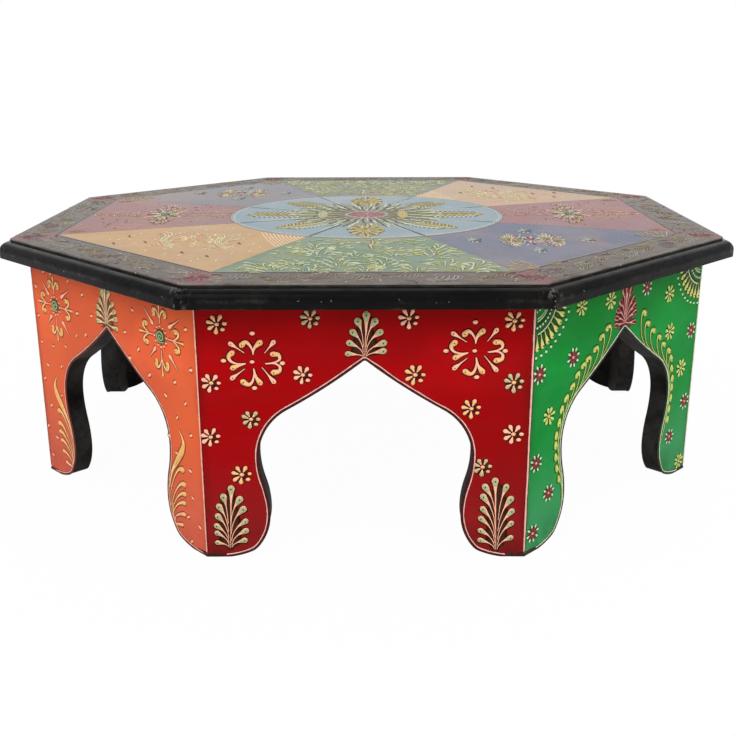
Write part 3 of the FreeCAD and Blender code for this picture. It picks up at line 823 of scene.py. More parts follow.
def flame_and_commas(painting, side, colours, stem):
    """A tall flame above a column of commas, up the inner side of one foot."""
    painting.stand(mirror=side)
    painting.drop(kept_in([(*on_panel(knot), knot[2]) for knot in FLAME], 1.8), colours, steps=3)
    for number, head in enumerate(COMMA_HEADS):
        x, y = on_panel(head)
        tail = 26 - 3 * number
        knots = [(x - 15, y - tail, 0.22), (x - 12.5, y - tail * 0.60, 0.28),
                 (x - 8, y - tail * 0.24, 0.42), (x - 3.4, y - 0.8, 0.9),
                 (x, y, 1.95 - 0.14 * number)]
        painting.drop(kept_in([knot for knot in knots if knot[1] > 3], 1.8),
                      colours if number < 4 else stem, steps=3)


def star_panel(seed, shade):
    painting = Painting(seed)
    plain, stem = Colours(CREAM, shade), Colours(PINK, shade)
    arm = Colours(srgb(248, 202, 138), shade, srgb(238, 184, 100))
    middle = Colours(srgb(176, 196, 150), srgb(70, 84, 40))
    leaf = Colours(srgb(250, 214, 176), srgb(118, 76, 34), srgb(178, 186, 126))
    for share in LARGE_STARS:
        star(painting, *on_panel(share), stem, arm, plain, middle)
    for side in (-1, 1):
        flame_and_commas(painting, side, arm, Colours(CREAM, shade, YELLOW))
    plume(painting, *FAN_PLUME, leaf, head=1.85, low_fall=1, high_fall=0.74)
    for share in SCATTERED_DROPS:
        painting.stand(*on_panel(share), painting.hand.uniform(150, 230), painting.vary(0.15))
        painting.drop([(1.4, 0, 0.5), (0, 0, 1)], plain)
    return painting


# ---------------------------------------------------------------- the green panels

LIGHT_FLOWERS = ((-0.19, 0.92), (-0.52, 0.93), (0.56, 0.87), (-0.81, 0.54), (0.61, 0.70),
                 (0.82, 0.51), (0.92, 0.05))
DARK_FLOWERS = ((0.25, 0.93), (-0.58, 0.74), (-0.93, 0.72), (-0.92, 0.37), (-0.77, 0.22),
                (-0.92, 0.08), (0.92, 0.67), (0.92, 0.34), (0.74, 0.20))
LEFT_VINE = (
    (-0.21, 0.81), (-0.28, 0.78), (-0.34, 0.74), (-0.42, 0.71), (-0.47, 0.69), (-0.53, 0.66),
    (-0.58, 0.62), (-0.64, 0.58), (-0.68, 0.54), (-0.70, 0.49), (-0.72, 0.44), (-0.72, 0.40),
    (-0.71, 0.35), (-0.69, 0.30), (-0.66, 0.25), (-0.64, 0.21))
RIGHT_VINE = (
    (0.25, 0.82), (0.31, 0.77), (0.39, 0.73), (0.48, 0.69), (0.55, 0.65), (0.63, 0.61),
    (0.67, 0.57), (0.69, 0.52), (0.71, 0.47), (0.71, 0.43), (0.71, 0.38), (0.70, 0.33),
    (0.69, 0.28), (0.68, 0.24))


def vine(painting, shares, colours):
    """Crooks one above the other along the arch, their stalks running down its edge."""
    painting.stand()
    heads = [Vector(on_panel(share)) for share in shares]
    for number, (head, below) in enumerate(zip(heads, heads[1:])):
        down = (below - head).normalized()
        nearest, gap, inward = off_rim(head)
        stalk = 11
        reach = min(stalk, gap - 2.4) / stalk
        knots = [(*(head - inward * across * reach + down * along), half)
                 for across, along, half in (
                     (stalk, 14, 0.20), (9.8, 7, 0.25), (7, 1, 0.32), (3.8, -2.3, 0.42),
                     (0.8, -2.8, 0.95), (0, 0, 1.95 - 0.045 * number))]
        painting.drop(kept_in(knots, 1.7), colours, shaded_pit=True, steps=3, halo=1)


def corner_rosette(painting, side, rim, club, shade):
    """A quarter rosette in an upper corner: arcs, clubs and rings of dots."""
    painting.stand(side * (HALF_WIDTH - 0.5), PANEL_HEIGHT + 0.5, mirror=-side)
    for radius, half, tint, relief in (
            (22.5, 3.4, shade, FILM / 6), (15, 2.6, shade, FILM / 6), (18.4, 0.42, rim, RELIEF),
            (11.4, 0.36, rim, RELIEF), (10, 0.30, rim, RELIEF)):
        painting.stroke([(*spoke(-turn, radius), half) for turn in range(4, 88, 7)], tint, relief)

    def turns(first, span, count):
        return [-first - span * step / (count - 1) for step in range(count)]

    for radius, half, count in ((14.8, 0.75, 9), (6.2, 0.7, 4)):
        for turn in turns(8, 76, count):
            painting.dot(*spoke(turn, radius), half, Colours(MINT))
    for turn in turns(6, 79, 9):
        painting.drop(ray(turn, (19.2, 0.24), (22, 0.45), (24, 1.25), (26, 1.75)), club, shaded_pit=True,
                      halo=0.9)
    for turn in turns(4, 83, 11):
        painting.dot(*spoke(turn, 30.8), 0.95, Colours(MINT, shade))


def vine_panel(seed, shade):
    painting = Painting(seed)
    light = Colours(srgb(186, 222, 130), shade, srgb(206, 210, 108))
    crooked = Colours(srgb(184, 222, 128), srgb(58, 92, 12), srgb(220, 202, 98))
    for share in LIGHT_FLOWERS:
        small_flower(painting, *on_panel(share), light, Colours(srgb(226, 190, 110), shade),
                     EIGHT_DROPS, ())
    for share in DARK_FLOWERS:
        tailed_flower(painting, *on_panel(share), Colours(MINT, shade),
                      Colours(srgb(150, 66, 64), srgb(88, 26, 22)),
                      Colours(srgb(226, 160, 150), shade))
    for side in (-1, 1):
        corner_rosette(painting, side, srgb(206, 206, 170),
                       Colours(srgb(212, 208, 120), shade), srgb(18, 72, 18))
    for shares in (LEFT_VINE, RIGHT_VINE):
        vine(painting, shares, crooked)
    plume(painting, *FAN_PLUME, Colours(srgb(226, 164, 150), srgb(96, 16, 22), MAROON),
          low_fall=1, high_fall=0.74)
    return painting


# ---------------------------------------------------------------- lines along a panel's edges


def face_rim():
    """The rim of the front panel's outer face, from one lower corner over the arch to the other."""
    shape = bmesh.new()
    shape.from_mesh(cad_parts["side_panel_1"].data)
    bmesh.ops.remove_doubles(shape, verts=shape.verts, dist=1e-6)
    face = {f for f in shape.faces if all(abs(v.co.y + FACE_OUT) < 1e-5 for v in f.verts)}
    beside = {}
    for edge in shape.edges:
        if sum(f in face for f in edge.link_faces) == 1:
            for one, other in (edge.verts, reversed(edge.verts)):
                beside.setdefault(one.index, []).append(other.index)
    places = {v.index: Vector((v.co.x / MM, v.co.z / MM)) for v in shape.verts}
    shape.free()
    start = min(beside, key=lambda index: sum(places[index]))
    behind = next(i for i in beside[start] if places[i].y > PANEL_HEIGHT / 2)
    run = [start]
    while places[run[-1]].x < HALF_WIDTH - 0.01:
        ahead = next(i for i in beside[run[-1]] if i != behind)
        behind = run[-1]
        run.append(ahead)
    return [places[index] for index in run]


def set_in(run, inset, spacing=2.2):
    """The run moved into the panel, square to its own way, with its points spread out evenly."""
    moved = []
    for number, point in enumerate(run):
        way = (run[min(len(run) - 1, number + 1)] - run[max(0, number - 1)]).normalized()
        moved.append(point + Vector((-way.y, way.x)) * inset)
    made = [moved[0]]
    left = spacing
    for start, end in zip(moved, moved[1:]):
        length = (end - start).length
        done = 0
        while length - done > left:
            done += left
            made.append(start + (end - start) * (done / length))
            left = spacing
        left -= length - done
    return [*made, moved[-1]]


def edge_lines(seed, line_tint, dark_tint):
    """Thin pale lines by hand along the arch, the feet and one corner, with dark paint beside."""
    painting = Painting(seed)
    hand, vary = painting.hand, painting.vary
    drift = 0

    def line(places, wander, half, unevenness, relief):
        """One pale line by hand over a wider dark one."""
        nonlocal drift
        run = []
        for x, y, swerve in places:
            drift = drift * 0.8 + hand.uniform(-wander, wander)
            run.append((x + drift, y + drift * swerve, half * vary(unevenness)))
        painting.stroke([(x, y, half + 0.3) for x, y, half in run], dark_tint, FILM, steps=1)
        painting.stroke(run, line_tint, relief, steps=1)

    painting.stroke([(x, max(y, 0.9), 0.85) for x, y in set_in(RIM, 0.45)], dark_tint, FILM * 1.5,
                    steps=1)
    inner = set_in(RIM, 1.35)
    start, stop = hand.randint(2, 5), len(inner) - hand.randint(2, 5)
    line([(x, y, 1) for x, y in inner[start:stop]], 0.07, 0.34, 0.24, 0.75)
    steps = 60
    line([(HALF_WIDTH - 0.25, PANEL_HEIGHT - 0.6 - (PANEL_HEIGHT - 4) * step / steps, 0)
          for step in range(steps + 1)], 0.06, 0.48, 0.20, 0.8)
    for side in (-1, 1):
        for number in range(3):
            far = HALF_WIDTH - 1.8 - number * 2.6
            painting.stroke([(side * far, 1.4, 1.2 * vary(0.3)),
                             (side * (far - 2.4), 1.2, 0.9 * vary(0.3))], srgb(46, 30, 26), FILM)
    return painting


# ---------------------------------------------------------------- the painted board

BOARD_DARK = srgb(50, 46, 36)
BOARD_PALE = srgb(212, 212, 192)
BOARD_OLIVE = srgb(150, 150, 108)
BOARD_GOLD = srgb(176, 160, 96)
BOARD_PINK = srgb(196, 150, 146)


def lens(painting, half_length, half_width, outline, inside, shade):
    """A pointed lens drawn with an outline and strokes that follow it inside."""
    for side in (-1, 1):
        for number in range(4):
            out = side * half_width * (1 - number / 3.6)
            reach = half_length * (1 - 0.13 * number)
            painting.drop([(reach * far, out * wide, 0.5 if number else 0.45) for far, wide in (
                (-1, 0), (-0.55, 0.8), (0, 1), (0.55, 0.8), (1, 0))],
                Colours(inside if number % 2 else outline, shade), steps=3, halo=0.35)


def bloom(painting, half_length, half_width, tints, shade, count):
    """A long flower filled with short strokes that run outwards from its middle."""
    hand = painting.hand
    golden_turn = 2.4
    for number in range(count):
        far = math.sqrt((number + 0.5) / count)
        middle = Vector((math.cos(number * golden_turn) * far * half_length,
                         math.sin(number * golden_turn) * far * half_width))
        run = middle.normalized() * hand.uniform(1.5, 2.9)
        bend = Vector((-run.y, run.x)) * hand.uniform(-0.25, 0.25)
        painting.fine([middle - run, middle + bend, middle + run], 0.68 * painting.vary(0.25),
                      tints[number % len(tints)], shade if number % 2 else None, steps=1)


# For each ring of short strokes: where it starts and ends, how many, their half width and tints
MANDALA_RINGS = (
    (15, 29, 64, 0.56, (srgb(190, 176, 156), BOARD_DARK, BOARD_OLIVE, BOARD_DARK)),
    (26, 38, 72, 0.60, (BOARD_PALE, BOARD_DARK, BOARD_OLIVE, BOARD_DARK)),
    (36.5, 48, 92, 0.60, (BOARD_OLIVE, BOARD_DARK, BOARD_PALE, BOARD_OLIVE)),
    (46, 55, 112, 0.52, (BOARD_OLIVE, BOARD_DARK, BOARD_PALE)))


def mandala(seed):
    """The middle of the board: a boss, fine rays and hatching, and eight leaves, most of them
    combed at their edges."""
    painting = Painting(seed)
    uniform = painting.hand.uniform
    painting.dot(0, 0, 1.5, Colours(BOARD_PINK, srgb(84, 30, 46)))
    for step in range(30):
        painting.stand(turn=step * 12 + uniform(-2, 2))
        painting.stroke([(uniform(2.5, 7), 0, 0.2), (13, 0, 0.32)],
                        BOARD_PINK if step % 2 else srgb(96, 34, 52), 0.3)
    for inner, outer, count, half, tints in MANDALA_RINGS:
        for step in range(count):
            painting.stand(turn=360 * step / count + uniform(-1, 1))
            bend = uniform(-0.8, 0.8)
            painting.stroke([(inner + uniform(0, 1.5), 0, half * 0.6),
                             ((inner + outer) / 2, bend, half),
                             (outer - uniform(0, 2), bend, half * 1.1)],
                            tints[step % len(tints)], 0.3)
    for turn, reach, outline, inside in ((0, 25, srgb(186, 168, 106), srgb(190, 162, 92)),
                                         (180, 30.5, BOARD_OLIVE, srgb(186, 180, 138))):
        painting.stand(*spoke(turn, reach), 90)
        lens(painting, 17.5, 3.2, outline, inside, BOARD_DARK)
    for step in range(SIDES):
        painting.stand(turn=step * STEP)
        if step in (2, 6):
            crown_leaf(painting, step * STEP)
        else:
            combed = {1: (1,), 3: (-1,), 5: (1,), 7: (-1,)}.get(step, (-1, 1))
            rope_leaf(painting, 49, 82 + uniform(-2, 2), 7.2, combed)
    for step in range(SIDES):
        painting.stand(turn=(step + 0.5) * STEP)
        strong = 1.7 if step in (5, 6) else 1
        painting.stroke([(47, 0.9, 0.6 * strong), (70, 0.5, 0.48 * strong),
                         (92.5, 0.9, 0.6 * strong)], srgb(72, 86, 82), 0.3)
        painting.stroke([(46, -0.5 * strong, 0.5), (60, -0.5 * strong, 0.4),
                         (78, -0.4 * strong, 0.2)], BOARD_PALE)
    painting.stand(*spoke(-90, 88.5))
    for turn in range(0, 360, 60):
        painting.drop(ray(turn, (0, 0.3), (3.4, 0.8)), Colours(srgb(196, 176, 140), BOARD_DARK))
    return painting


def crown_leaf(painting, turn):
    """A frilled gold leaf, crowded with short strokes and edged with small petals."""
    painting.stand(*spoke(turn, 66), turn)
    painting.stroke([(-16, 0, 7), (0, 0, 8.5), (17, 0, 3)], srgb(122, 114, 84), FILM / 12, steps=3)
    bloom(painting, 20, 10, (BOARD_GOLD, srgb(200, 190, 154), BOARD_OLIVE, srgb(184, 154, 88),
                             srgb(92, 82, 56)), BOARD_DARK, 110)
    for side in (-1, 1):
        for step in range(6):
            out, wide = step * 5 - 13, 10.4 - 1.25 * abs(step - 1.5)
            painting.fine([(out, side * (wide - 2)), (out + 1.6, side * (wide + 0.4)),
                           (out + 3.6, side * (wide + 0.8))], 0.60, srgb(190, 178, 130), BOARD_DARK)


def rope_leaf(painting, start, tip, half_width, combed):
    """A blunt leaf filled with slanted strokes like a twisted rope, with combing down its sides."""
    length = tip - start
    painting.stroke([(start + 2, 0, half_width * 0.50),
                     (start + length * 0.35, 0, half_width * 0.86),
                     (start + length * 0.72, 0, half_width * 0.74),
                     (tip - 4, 0, half_width * 0.36)], srgb(128, 120, 86), FILM / 12, steps=3)
    for side in (-1, 1):
        painting.fine([(start - 2, side * half_width * 0.35),
                       (start + length * 0.25, side * half_width),
                       (start + length * 0.60, side * half_width * 0.94),
                       (start + length * 0.88, side * half_width * 0.62), (tip, side * 1.6)],
                      0.52, srgb(178, 172, 124), srgb(92, 84, 56))
        for step in range(9):
            share = 0.05 + 0.10 * step
            out = half_width * math.sin(math.pi * min(1, share * 0.74 + 0.20)) ** 0.7
            x = start + length * share
            painting.stroke([(x + 3, side * 0.6, 0.35), (x + 0.6, side * out * 0.45, 0.74),
                             (x - 1.2, side * out * 0.84, 0.50)],
                            BOARD_GOLD if step % 2 else srgb(192, 186, 142), steps=1)
            painting.stroke([(x + 4.8, side * 0.8, 0.28), (x + 2.6, side * out * 0.48, 0.42),
                             (x + 1.2, side * out * 0.80, 0.26)], srgb(82, 74, 50), 0.5, steps=1)
            if share < 0.86 and side in combed:
                painting.stroke([(x + 1, side * (out + 1), 0.36),
                                 (x - 1.6, side * (out + 6.2), 0.56)], srgb(50, 52, 42), 0.4)
                painting.stroke([(x - 1.2, side * (out + 1), 0.32),
                                 (x - 3.8, side * (out + 5.6), 0.52)], BOARD_PALE, 0.5)


def fern(painting, pale, warm, shade, rows):
    """A feathery spray: rows of short fat commas standing apart, leaning out to both sides."""
    for row in range(rows):
        count = (5, 6, 7, 6)[row + (rows < 3)]
        for number in range(count):
            off = (number - (count - 1) / 2) * painting.vary(0.08)
            start = row * 8.2 - abs(off) * 1.7 + painting.hand.uniform(-0.8, 0.8)
            length = 5.8 * painting.vary(0.22)
            knots = [(start, off * 3.3)]
            for lean, share in ((16, 0.6), (27, 1)):
                along, aside = spoke(off * lean, length * share)
                knots.append((start + along, off * 3.3 + aside))
            painting.fine(knots, 0.98 * painting.vary(0.18),
                          warm if (number + row * 2) % 3 == 1 else pale, shade)
    tip = rows * 8.2
    painting.fine([(tip - 3, 0), (tip + 2, 1), (tip + 3.4, 2.6)], 1.1, pale, shade)


def shell_fan(painting, place, turn, size, pale, warm, shade):
    """A scallop of fine strokes spreading from one point, in two rows."""
    for row, start, reach, count in ((0, 3, 7.5, 5), (1, 9, 15, 8)):
        for step in range(count):
            painting.stand(*place, turn + 72 * step / (count - 1) - 36, size)
            painting.fine([(start, 0), ((start + reach) / 2, 0.3), (reach, 0)], 0.52,
                          pale if (step + row) % 2 else warm, shade)


def field_spot(turn, across, out):
    """A place on the board from how far across a field's own line it lies and how far out."""
    cosine, sine = spoke(turn, 1)
    return cosine * out - sine * across, sine * out + cosine * across


def scattered(painting, turn, count, least, most, left, right):
    """Numbered places all over a field, from how far out they may lie and how far to its sides."""
    for number in range(count):
        out = painting.hand.uniform(least, most)
        yield number, *field_spot(turn, painting.hand.uniform(left, right) * out, out)


def field_motifs(place, seed):
    """What is painted on one of the eight coloured fields."""
    painting = Painting(seed)
    paint_field = (green_field, lilac_field, rose_field, ochre_field)[place % 4]
    paint_field(painting, place * STEP - 90)
    return painting


# Millimetres across and out, the lean in degrees, the size and the number of rows
GREEN_FIELD_FERNS = (
    (-27, 146, 8, 0.90, 4), (-6, 150, -4, 0.70, 2), (16, 150, 6, 0.70, 2), (38, 148, -10, 0.90, 4),
    (-15, 177, 8, 0.85, 3), (10, 178, -6, 0.85, 3), (-39, 176, 22, 0.75, 2),
    (44, 176, -20, 0.75, 2), (-50, 189, 30, 0.90, 3), (-28, 190, -12, 0.70, 2),
    (0, 190, 6, 0.65, 2), (26, 190, 10, 0.70, 2), (54, 189, -28, 0.90, 3))


def green_field(painting, turn):
    """Feathery sprays standing over the whole field, with a scatter of short drops between them."""
    uniform = painting.hand.uniform
    shade = srgb(64, 84, 62)
    pale, lime, yellow = srgb(190, 194, 164), srgb(158, 164, 114), srgb(188, 178, 106)
    for number, (across, out, lean, size, rows) in enumerate(GREEN_FIELD_FERNS):
        painting.stand(*field_spot(turn, across, out), turn + 180 + lean, size)
        fern(painting, pale, yellow if number % 4 == 3 else lime, shade, rows)
    for step in range(8):
        painting.stand(*field_spot(turn, 6, 181), step * STEP)
        painting.fine([(1.2, 0), (4.4, 0)], 0.9, yellow if step % 2 else pale, shade)
    for number, x, y in scattered(painting, turn, 210, 98, 190, -0.39, 0.39):
        painting.stand(x, y, turn + 90 + uniform(-50, 50))
        length = uniform(0.9, 2.1)
        painting.fine([(-length, 0), (length, 0)], uniform(0.6, 1.1),
                      (pale, lime, pale, lime, yellow)[number % 5], shade)
    painting.stand(*field_spot(turn, 4, 128), turn + 180)
    painting.drop([(0, 0, 0.5), (9, 1.2, 0.7), (18, -0.4, 0.5), (31, 0.6, 0.4)],
                  Colours(srgb(196, 184, 160), srgb(96, 78, 58)), steps=3)


def rose_field(painting, turn):
    """A flower of fine petals round a small green heart, with a combed vine on both sides of it."""
    uniform = painting.hand.uniform
    side = -1 if turn else 1
    x = side * 141
    shade, gold, pale = srgb(104, 58, 60), srgb(182, 144, 96), srgb(194, 176, 150)
    painting.stand(x, 2, 90 - side * 4)
    bloom(painting, 43, 9.5, (pale, srgb(136, 138, 110), srgb(206, 184, 168), shade, gold),
          srgb(96, 74, 62), 120)
    bloom(painting, 15, 7.5, (srgb(150, 160, 132), srgb(84, 96, 70), srgb(210, 202, 176)),
          srgb(70, 66, 50), 40)
    painting.stroke([(-9, 0, 0.9), (0, 0, 3), (9, 0, 0.9)], srgb(92, 104, 84), 0.15, 0.1, steps=3)
    for way, length in ((48, 19), (132, 19), (228, 18), (312, 18)):
        painting.stand(x, 2, way)
        painting.fine([(12, 0), (15, 1.4), (length, 0.4)], 1, srgb(212, 174, 170), shade)
        painting.fine([(length + 1, 1), (length + 9, 3)], 0.5, BOARD_PINK, shade)
    for way in (-1, 1):
        for number in range(15):
            tall = 3.2 + 1.4 * math.sin(number * 0.9)
            for row in (-1, 1):
                painting.stand(x + way * (15 + number * 2.3), 2 + row * (tall + 1.6),
                               90 + row * way * 28)
                painting.fine([(-tall, 0), (0, uniform(-0.8, 0.8)), (tall, 0)], 0.62,
                              (gold, pale, BOARD_PINK)[(number + row) % 3], shade, steps=1)
    for number, out, across in scattered(painting, 0, 90, 98, 190, -0.38, 0.38):
        painting.stand(side * out, across, uniform(60, 120))
        painting.stroke([(-1.4, 0, 0.22), (0, 0.4, 0.4), (1.4, 0, uniform(0.3, 0.5))],
                        (BOARD_PINK, shade, gold)[number % 3])
    for end in (-1, 1):
        shell_fan(painting, (side * 184, end * 60), end * 90, 0.7, srgb(166, 150, 110),
                  srgb(170, 140, 84), shade)


def lilac_field(painting, turn):
    """Two long blooms beside a red heart, four pale fleurs round them, scallops in the corners."""
    uniform = painting.hand.uniform
    x, y = (100, -102) if turn < 0 else (-100, 112)
    shade = srgb(74, 76, 92)
    pale, warm, dark = srgb(176, 180, 166), srgb(142, 150, 132), srgb(56, 62, 64)
    painting.stand(x, y, 90)
    painting.drop([(-9, 0.4, 0.4), (-2, 0, 0.7), (7, 0.2, 0.9)],
                  Colours(srgb(170, 108, 104), shade), steps=3)
    bloom(painting, 11, 5, (srgb(196, 150, 146), srgb(206, 204, 188), srgb(120, 52, 56)), shade, 18)
    painting.drop([(-2, 0, 0.7), (1.5, 0, 1.1)], Colours(srgb(118, 28, 34), shade))
    for side in (-1, 1):
        painting.stand(x + side * 12, y, 90 + side * 2)
        bloom(painting, 22, 6 if side > 0 else 4.6, (
            srgb(190, 172, 104), srgb(206, 198, 166), srgb(188, 148, 136), srgb(122, 116, 100)),
            srgb(92, 88, 92), 46)
        for number in range(7):
            painting.stand(x + side * (5.4 + number % 2), y - 17 + number * 5.8, 90 + side * 14)
            painting.fine([(-1.4, 0), (2, side * 0.6)], 0.75, pale, shade)
            painting.stand(x + side * (18.6 - abs(number - 3) * 0.7), y - 15 + number * 5,
                           90 - side * 30)
            painting.fine([(-1.6, 0), (1.8, 0.4)], 0.70, pale if number % 2 else warm, shade)
    for way, reach in ((90, 32), (180, 35), (0, 34), (270, 32)):
        dx, dy = spoke(way, reach)
        painting.stand(x + dx, y + dy, 90)
        bloom(painting, 5.4, 3, (pale, dark, warm), None, 13)
        for end in (-1, 1):
            painting.fine([(end * 5, -end * 0.6), (end * 8.2, end * 0.8)], 0.62, pale, dark)
    for number, px, py in scattered(painting, turn, 46, 100, 188, -0.38, 0.38):
        if abs(px - x) >= 20 or abs(py - y) >= 24:
            painting.stand(px, py, uniform(60, 120))
            painting.stroke([(-1, 0, 0.2), (0.9, 0, uniform(0.3, 0.6))], warm)
    for side in (-1, 1):
        for across, out, lean, size in ((62, 197, 24, 1.35), (48, 198, 0, 0.62)):
            shell_fan(painting, field_spot(turn, side * across, out), turn + 180 - side * lean,
                      size, srgb(178, 166, 140), srgb(160, 144, 108), srgb(86, 72, 66))


def ochre_field(painting, turn):
    """Two curling pale green sprays with thin red scrolls, dark drops and a hatched patch."""
    uniform = painting.hand.uniform
    green, pale, red = srgb(178, 190, 148), srgb(224, 204, 166), srgb(194, 138, 110)
    flip = 1 if turn > 90 else -1

    def at(x, y):
        return flip * x, flip * y

    for place in ((-120, -98), (-86, -106)):
        painting.stand(*at(*place), flip * 90)
        for step, tint in enumerate((green, pale, green, srgb(206, 212, 176), red)):
            off = (step - 2) * 1.3
            painting.fine([(step - 26, off - 5), (-13, off - 1.4), (-3, off + 2.4), (6, off + 3.4),
                           (16, off * 1.5 + 2.4), (25 - step, off * 2 + 5)], 0.48, tint,
                          srgb(176, 142, 96))
        for step in range(12):
            along = step * 4.4 - 25
            for side in (-1, 1):
                reach = side * (5.6 + 3.5 * math.sin(step * 1.3 + side))
                painting.fine([(along, side * 1.4), (along + 2, reach * 0.7), (along + 5, reach)],
                              0.56, (pale, green, red)[(step + side) % 3], srgb(178, 142, 98))
    for number in range(34):
        place = uniform(-13, 13) - 103, uniform(-22, 22) - 104
        painting.stand(*at(*place), uniform(70, 115) + 90 - flip * 90, painting.vary(0.3))
        painting.fine([(-6, 0), (-2, 1.8), (2, -0.6), (6, 1.2)], 0.46,
                      (red, pale, green)[number % 3], steps=3)
    for number, x, y in scattered(painting, turn, 60, 100, 188, -0.3, 0.36):
        painting.stand(x, y, uniform(60, 120))
        painting.fine([(-1.6, 0), (0, 0.3), (1.8, 0)], 0.42,
                      srgb(196, 160, 110) if number % 2 else pale)
    for place in ((-146, -86), (-132, -106), (-104, -139), (-75, -111), (-150, -110), (-88, -150)):
        painting.stand(*at(*place), 112)
        painting.drop([(-2.6, 0, 0.35), (1.6, 0, 1)], Colours(srgb(104, 74, 44)))
    painting.stand()
    for number in range(11):
        share = number / 10
        start = Vector((27 * share - 66, -71.5 - 16.5 * share ** 0.85))
        end = Vector((14.2 * share - 51.8, 29 * share - 123))
        middle = (start + end) / 2 - Vector((1.2, 0))
        painting.stroke([(*at(*place), 0.34) for place in (start, middle, end)],
                        srgb(228, 204, 172))


def dividing_lines(seed):
    """Thin double lines between the fields, round the circle and round the inner octagon."""
    painting = Painting(seed)
    corner = FIELD_EDGE / math.cos(math.pi / SIDES)
    for step in range(SIDES):
        turn = (step + 0.5) * STEP
        painting.stand(turn=turn)
        painting.stroke([(CIRCLE + 1, -0.1, 0.26), (corner - 1, 0.1, 0.24)],
                        srgb(118, 110, 98), 0.2)
        painting.stand()
        for inset, half, tint, relief in ((0, 0.50, srgb(78, 70, 64), 0.3),
                                          (0.9, 0.22, srgb(156, 156, 148), 0.5)):
            share = 1 - inset / FIELD_EDGE
            painting.stroke([(*spoke(way, corner * share), half) for way in (turn, turn + STEP)],
                            tint, relief)
    pale = srgb(188, 192, 184)
    for radius, half, tint in ((CIRCLE - 2.2, 0.36, pale), (CIRCLE - 0.4, 0.20, pale),
                               (CIRCLE + 0.4, 0.26, srgb(112, 114, 106)),
                               (MEDALLION + 0.4, 0.26, pale)):
        painting.stroke([(*spoke(turn, radius), half) for turn in range(0, 361, 4)], tint, 0.6,
                        steps=1)
    return painting


def border_vine(place, seed):
    """Hatched curls one after the other along one side of the dark border, with thin scroll lines
    and small drops, and a rose patch in the corner."""
    painting = Painting(seed)
    uniform = painting.hand.uniform
    middle = (FIELD_EDGE + RIM_OUT / MM) / 2
    length = middle * math.tan(math.pi / SIDES) * 2
    shade, thin = srgb(52, 44, 40), srgb(112, 102, 92)
    tints = (srgb(142, 138, 108), srgb(158, 142, 132), srgb(154, 154, 144), srgb(140, 122, 84),
             srgb(132, 108, 104))
    turn = place * STEP - 90
    for curl in range(-3, 4):
        along = curl * length * 0.125 + uniform(-2, 2)
        side = 2 if curl % 2 else -2
        painting.stand(*field_spot(turn, along, middle - side), turn + 90, painting.vary(0.12))
        for step in range(6):
            tall = 5 * math.sin(math.pi * (0.16 + 0.14 * step)) + 1
            x = step * 2.4 - 6
            painting.fine([(x - tall * 0.9, -tall), (x + tall * 0.2, -tall * 0.35),
                           (x + tall * 0.5, tall * 0.8)], 0.46,
                          tints[(curl + place * 2) % 5], shade)
    for number in range(9):
        side = 1 if number % 2 else -1
        painting.stand(*field_spot(turn, (number / 9 - 0.44) * length, middle), turn + 90)
        painting.fine([(-8, side * 6), (-2, side * 9), (4.5, side * 7.5), (5.5, side * 3.5),
                       (2, side * 2.6)], 0.32, thin)
    for number in range(110):
        spot = field_spot(turn, uniform(-0.48, 0.48) * length, middle + uniform(-11, 10.5))
        painting.stand(*spot, turn + 90 + uniform(-60, 60), 1, painting.hand.choice((-1, 1)))
        reach = uniform(1.4, 4)
        painting.fine([(-reach, 0), (0, reach * 0.5), (reach * 0.9, -reach * 0.1)],
                      uniform(0.30, 0.52), (*tints, shade, thin)[number % 7])
    corner = spoke(turn + STEP / 2, middle / math.cos(math.pi / SIDES))
    for number in range(14):
        painting.stand(*corner, number * 26 + uniform(-8, 8))
        painting.fine([(1, 0), (3.6, 1.2), (6 + 2.4 * (number % 2), 0.4)], 0.5,
                      srgb(136, 88, 92) if number % 2 else srgb(92, 50, 54))
    return painting


# ---------------------------------------------------------------- the whole table

# For each colour of panel: its lacquer at the top (darker there, painted shade under the moulding),
# in the middle and at the foot, its grime, what is painted on it, the dark ground of that, and the
# light and the dark of the line along its edge
PANELS = (
    ("red", (srgb(146, 2, 5), srgb(150, 2, 6), srgb(131, 25, 27), srgb(70, 16, 12)),
     foil_panel, (srgb(62, 12, 4), srgb(52, 24, 8)), (srgb(238, 176, 164), srgb(60, 14, 16))),
    ("green", (srgb(4, 116, 34), srgb(7, 135, 50), srgb(56, 142, 86), srgb(14, 84, 26)),
     vine_panel, (srgb(20, 62, 10),), (srgb(214, 214, 188), srgb(16, 36, 18))),
    ("blue", (srgb(18, 60, 134), srgb(22, 68, 146), srgb(42, 88, 150), srgb(12, 30, 78)),
     foil_panel, (srgb(8, 20, 52), srgb(8, 20, 52)), (srgb(228, 206, 196), srgb(10, 16, 34))),
    ("orange", (srgb(217, 92, 48), srgb(217, 96, 54), srgb(203, 94, 68), srgb(170, 60, 44)),
     star_panel, (srgb(150, 62, 24),), (srgb(236, 170, 150), srgb(96, 34, 24))))

RIM = face_rim()
STROKE_TREE = stroke_tree()
thick_paint = raised_paint("thick_paint", roughness=0.42, gloss=0.10)
line_paint = raised_paint("line_paint", roughness=0.45, gloss=0.10)
board_paint = raised_paint("board_line_paint", roughness=0.34, gloss=0.04)
# Each painting has its own seed; those of a panel, a field and a border count up from these
PANEL_SEED, FIELD_SEED, BORDER_SEED = 11, 40, 50
MANDALA_SEED, LINES_SEED, FLAKE_SEED = 31, 33, 7


